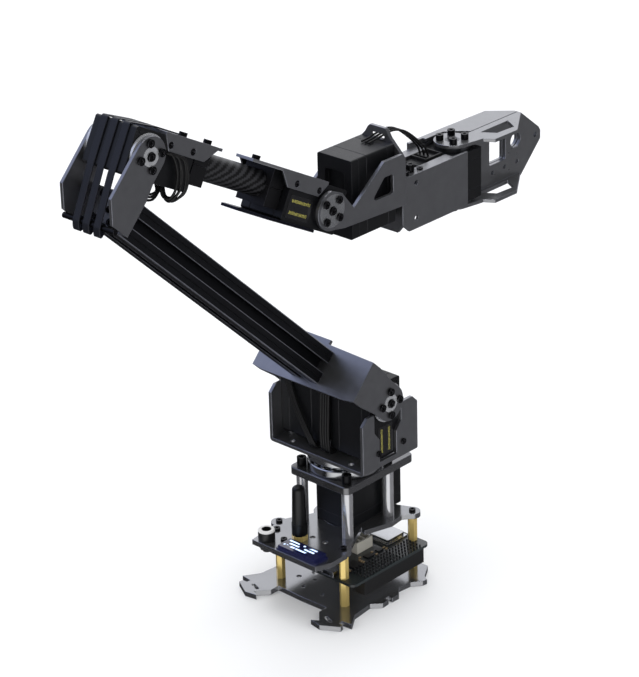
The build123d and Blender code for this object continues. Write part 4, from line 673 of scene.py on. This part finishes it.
def turned(name, items, material, body):
    """Closed profiles turned about an axis, as one piece. An item is a foot, the axis and the profile's points
    of radius and height. Each point is the foot, plus the radius times a way that goes round the axis by
    its cosine and sine, plus the height times the axis."""
    feet, axes, profiles = (np.array(part) for part in zip(*items))
    side = unit(np.array([Vector(axis).orthogonal() for axis in axes]))[:, None]
    turn = np.linspace(0, 2 * pi, TURN_STEPS, endpoint=False)[:, None]
    round_axis = np.cos(turn) * side + np.sin(turn) * np.cross(axes[:, None], side)
    reach, rise = profiles[:, None, :, 0, None], profiles[:, None, :, 1, None]
    points = feet[:, None, None] + round_axis[:, :, None] * reach + axes[:, None, None] * rise
    number = np.arange(points[..., 0].size).reshape(points.shape[:3])
    onward = np.roll(number, -1, axis=1)
    faces = np.stack((number, onward, np.roll(onward, -1, axis=2), np.roll(number, -1, axis=2)), axis=-1)
    piece = make_piece(name, points, faces.reshape(-1, 4).tolist(), material, body, smooth=True)
    piece.data.set_sharp_from_angle(angle=CREASE)


def flat_rings(centre, *sizes):
    """Rings square to Y on both sides of a joint's middle plane, from (bore radius, outer radius, near, far) in
    millimetres, where near and far are distances from that plane. Each is a rectangle of radius and height."""
    rings = []
    for side in (-1, 1):
        for bore, outer, near, far in sizes:
            profile = np.array(((bore, 0), (outer, 0), (outer, far - near), (bore, far - near))) * MM
            rings.append((centre * (1, 0, 1) + SIDE_WAY * side * near * MM, SIDE_WAY * side, profile))
    return rings


# Bright horn discs that show round the ears' ends, and the horns' bosses in the middle of the ears
horn_bright = finish("bright horn", (0.78, 0.79, 0.82), metal=0.7, rough=0.26, grain=0.25, depth=0.0,
                     edge_r=0.1, edge_amount=0.0)
horn_dull = finish("wrist horn", (0.46, 0.47, 0.49), metal=0.85, rough=0.22, grain=0.25, depth=0.0,
                   edge_r=0.1, edge_amount=0.0, spread=0.2)
turned("elbow_horn_rims", flat_rings(ELBOW, (8.0, 11.1, 14.75, 16.2), (2.6, 5.1, 18.3, 18.55)), horn_bright,
       "upper_arm")
turned("shoulder_horn_rims", flat_rings(SHOULDER, (8.0, 11.2, 35.26, 35.48), (2.6, 5.1, 37.5, 37.75)),
       horn_bright, "upper_arm")
turned("wrist_horn_rims", flat_rings(WRIST, (2.6, 9.2, 18.3, 18.55)), horn_dull, "wrist")
SCREW_PROFILE = np.array(((2.3, 0), (2.3, 4.0), (2.05, 4.4), (1.25, 4.4), (1.1, 4.2), (1.1, 2.4), (0.05, 2.4),
                          (0.05, 0))) * MM
turned("grip_corner_screw", [(np.array((48.4, -8.8, 235.1)) * MM, UP_WAY, SCREW_PROFILE)], oxide_steel,
       "hand")

# Floor, which reflections do not see
FLOOR_HALF = 6.0
floor = make_piece("floor", np.array(((-1, -1, 0), (1, -1, 0), (1, 1, 0), (-1, 1, 0))) * FLOOR_HALF,
                   [(0, 1, 2, 3)],
                   finish("floor", FLOOR_WHITE, rough=0.6, grain=40, depth=0.0, edge=FLOOR_WHITE, spread=0.02))
floor.visible_glossy = False


def sky(base, lobes, fill):
    """World light. Reflections see a dim base with soft lobes on it: (way, colour, start, full), where start
    and full are the cosines to the way at which a lobe begins and is whole, and the lobes add up. Other rays
    see an even fill, and the camera sees white."""
    world = bpy.data.worlds.new("sky")
    world.use_nodes = True
    tree = world.node_tree
    tree.nodes.clear()
    way = put(tree, "ShaderNodeTexCoord").outputs["Generated"]
    total = base
    for lobe_way, colour, start, full in lobes:
        facing = put(tree, "ShaderNodeVectorMath", {"operation": "DOT_PRODUCT"}, i0=way,
                     i1=Vector(lobe_way).normalized()).outputs["Value"]
        mask = put(tree, "ShaderNodeMapRange", {"interpolation_type": "SMOOTHSTEP"}, Value=facing,
                   From_Min=start, From_Max=full)
        lobe = put(tree, "ShaderNodeVectorMath", {"operation": "SCALE"}, i0=colour, Scale=mask.outputs[0])
        total = put(tree, "ShaderNodeVectorMath", {"operation": "ADD"}, i0=total, i1=lobe.outputs[0]).outputs[0]
    mirrored = put(tree, "ShaderNodeBackground", Color=total, Strength=1.0)
    even = put(tree, "ShaderNodeBackground", Color=(1, 1, 1, 1), Strength=fill)
    white = put(tree, "ShaderNodeBackground", Color=(1, 1, 1, 1), Strength=1.0)
    rays = put(tree, "ShaderNodeLightPath").outputs
    lit = put(tree, "ShaderNodeMixShader", i0=rays["Is Glossy Ray"], i1=even.outputs[0], i2=mirrored.outputs[0])
    mixed = put(tree, "ShaderNodeMixShader", i0=rays["Is Camera Ray"], i1=lit.outputs[0], i2=white.outputs[0])
    put(tree, "ShaderNodeOutputWorld", Surface=mixed.outputs[0])
    return world


scene = bpy.context.scene
scene.world = sky((0.05, 0.05, 0.055), (
    ((0.66, 0.62, 0.42), (1.05, 1.06, 1.10), 0.55, 0.95),
    ((-0.45, 0.62, 0.64), (0.42, 0.48, 0.72), 0.70, 0.97),
    ((-0.72, -0.52, -0.42), (1.0, 1.0, 1.0), 0.62, 0.93),
    ((0.66, -0.62, -0.42), (0.092, 0.092, 0.096), 0.30, 0.90),
), fill=1.05)

# One soft lamp overhead, aimed at the origin
SUN_SPOT = Vector((0.3, 0.2, 2.0))
sun_data = bpy.data.lights.new("overhead", "SUN")
sun_data.energy = 1.1
sun_data.specular_factor = 0.25
sun_data.angle = radians(35)
sun = bpy.data.objects.new("overhead", sun_data)
sun.location = SUN_SPOT
sun.rotation_euler = (-SUN_SPOT).to_track_quat("-Z", "Y").to_euler()
scene.collection.objects.link(sun)

# Camera, fitted to the photograph
CAMERA_AZIMUTH = radians(43.38)
CAMERA_ELEVATION = radians(24.79)
CAMERA_ROLL = radians(-1.55)
CAMERA_SPOT = Vector((-0.9982, -0.9265, 0.7787))
CAMERA_LENS = 154.1
back = Vector((-cos(CAMERA_AZIMUTH) * cos(CAMERA_ELEVATION), -sin(CAMERA_AZIMUTH) * cos(CAMERA_ELEVATION),
               sin(CAMERA_ELEVATION)))
right = Vector((sin(CAMERA_AZIMUTH), -cos(CAMERA_AZIMUTH), 0))
up = back.cross(right)
camera_x = right * cos(CAMERA_ROLL) + up * sin(CAMERA_ROLL)
camera_y = up * cos(CAMERA_ROLL) - right * sin(CAMERA_ROLL)
camera_data = bpy.data.cameras.new("camera")
camera_data.lens = CAMERA_LENS
camera_data.sensor_width = 36.0
camera_data.sensor_fit = "HORIZONTAL"
camera_data.clip_end = 30.0
camera = bpy.data.objects.new("camera", camera_data)
camera.matrix_world = Matrix.Translation(CAMERA_SPOT) @ Matrix((camera_x, camera_y, back)).transposed().to_4x4()
scene.collection.objects.link(camera)
scene.camera = camera
scene.view_settings.view_transform = "Standard"
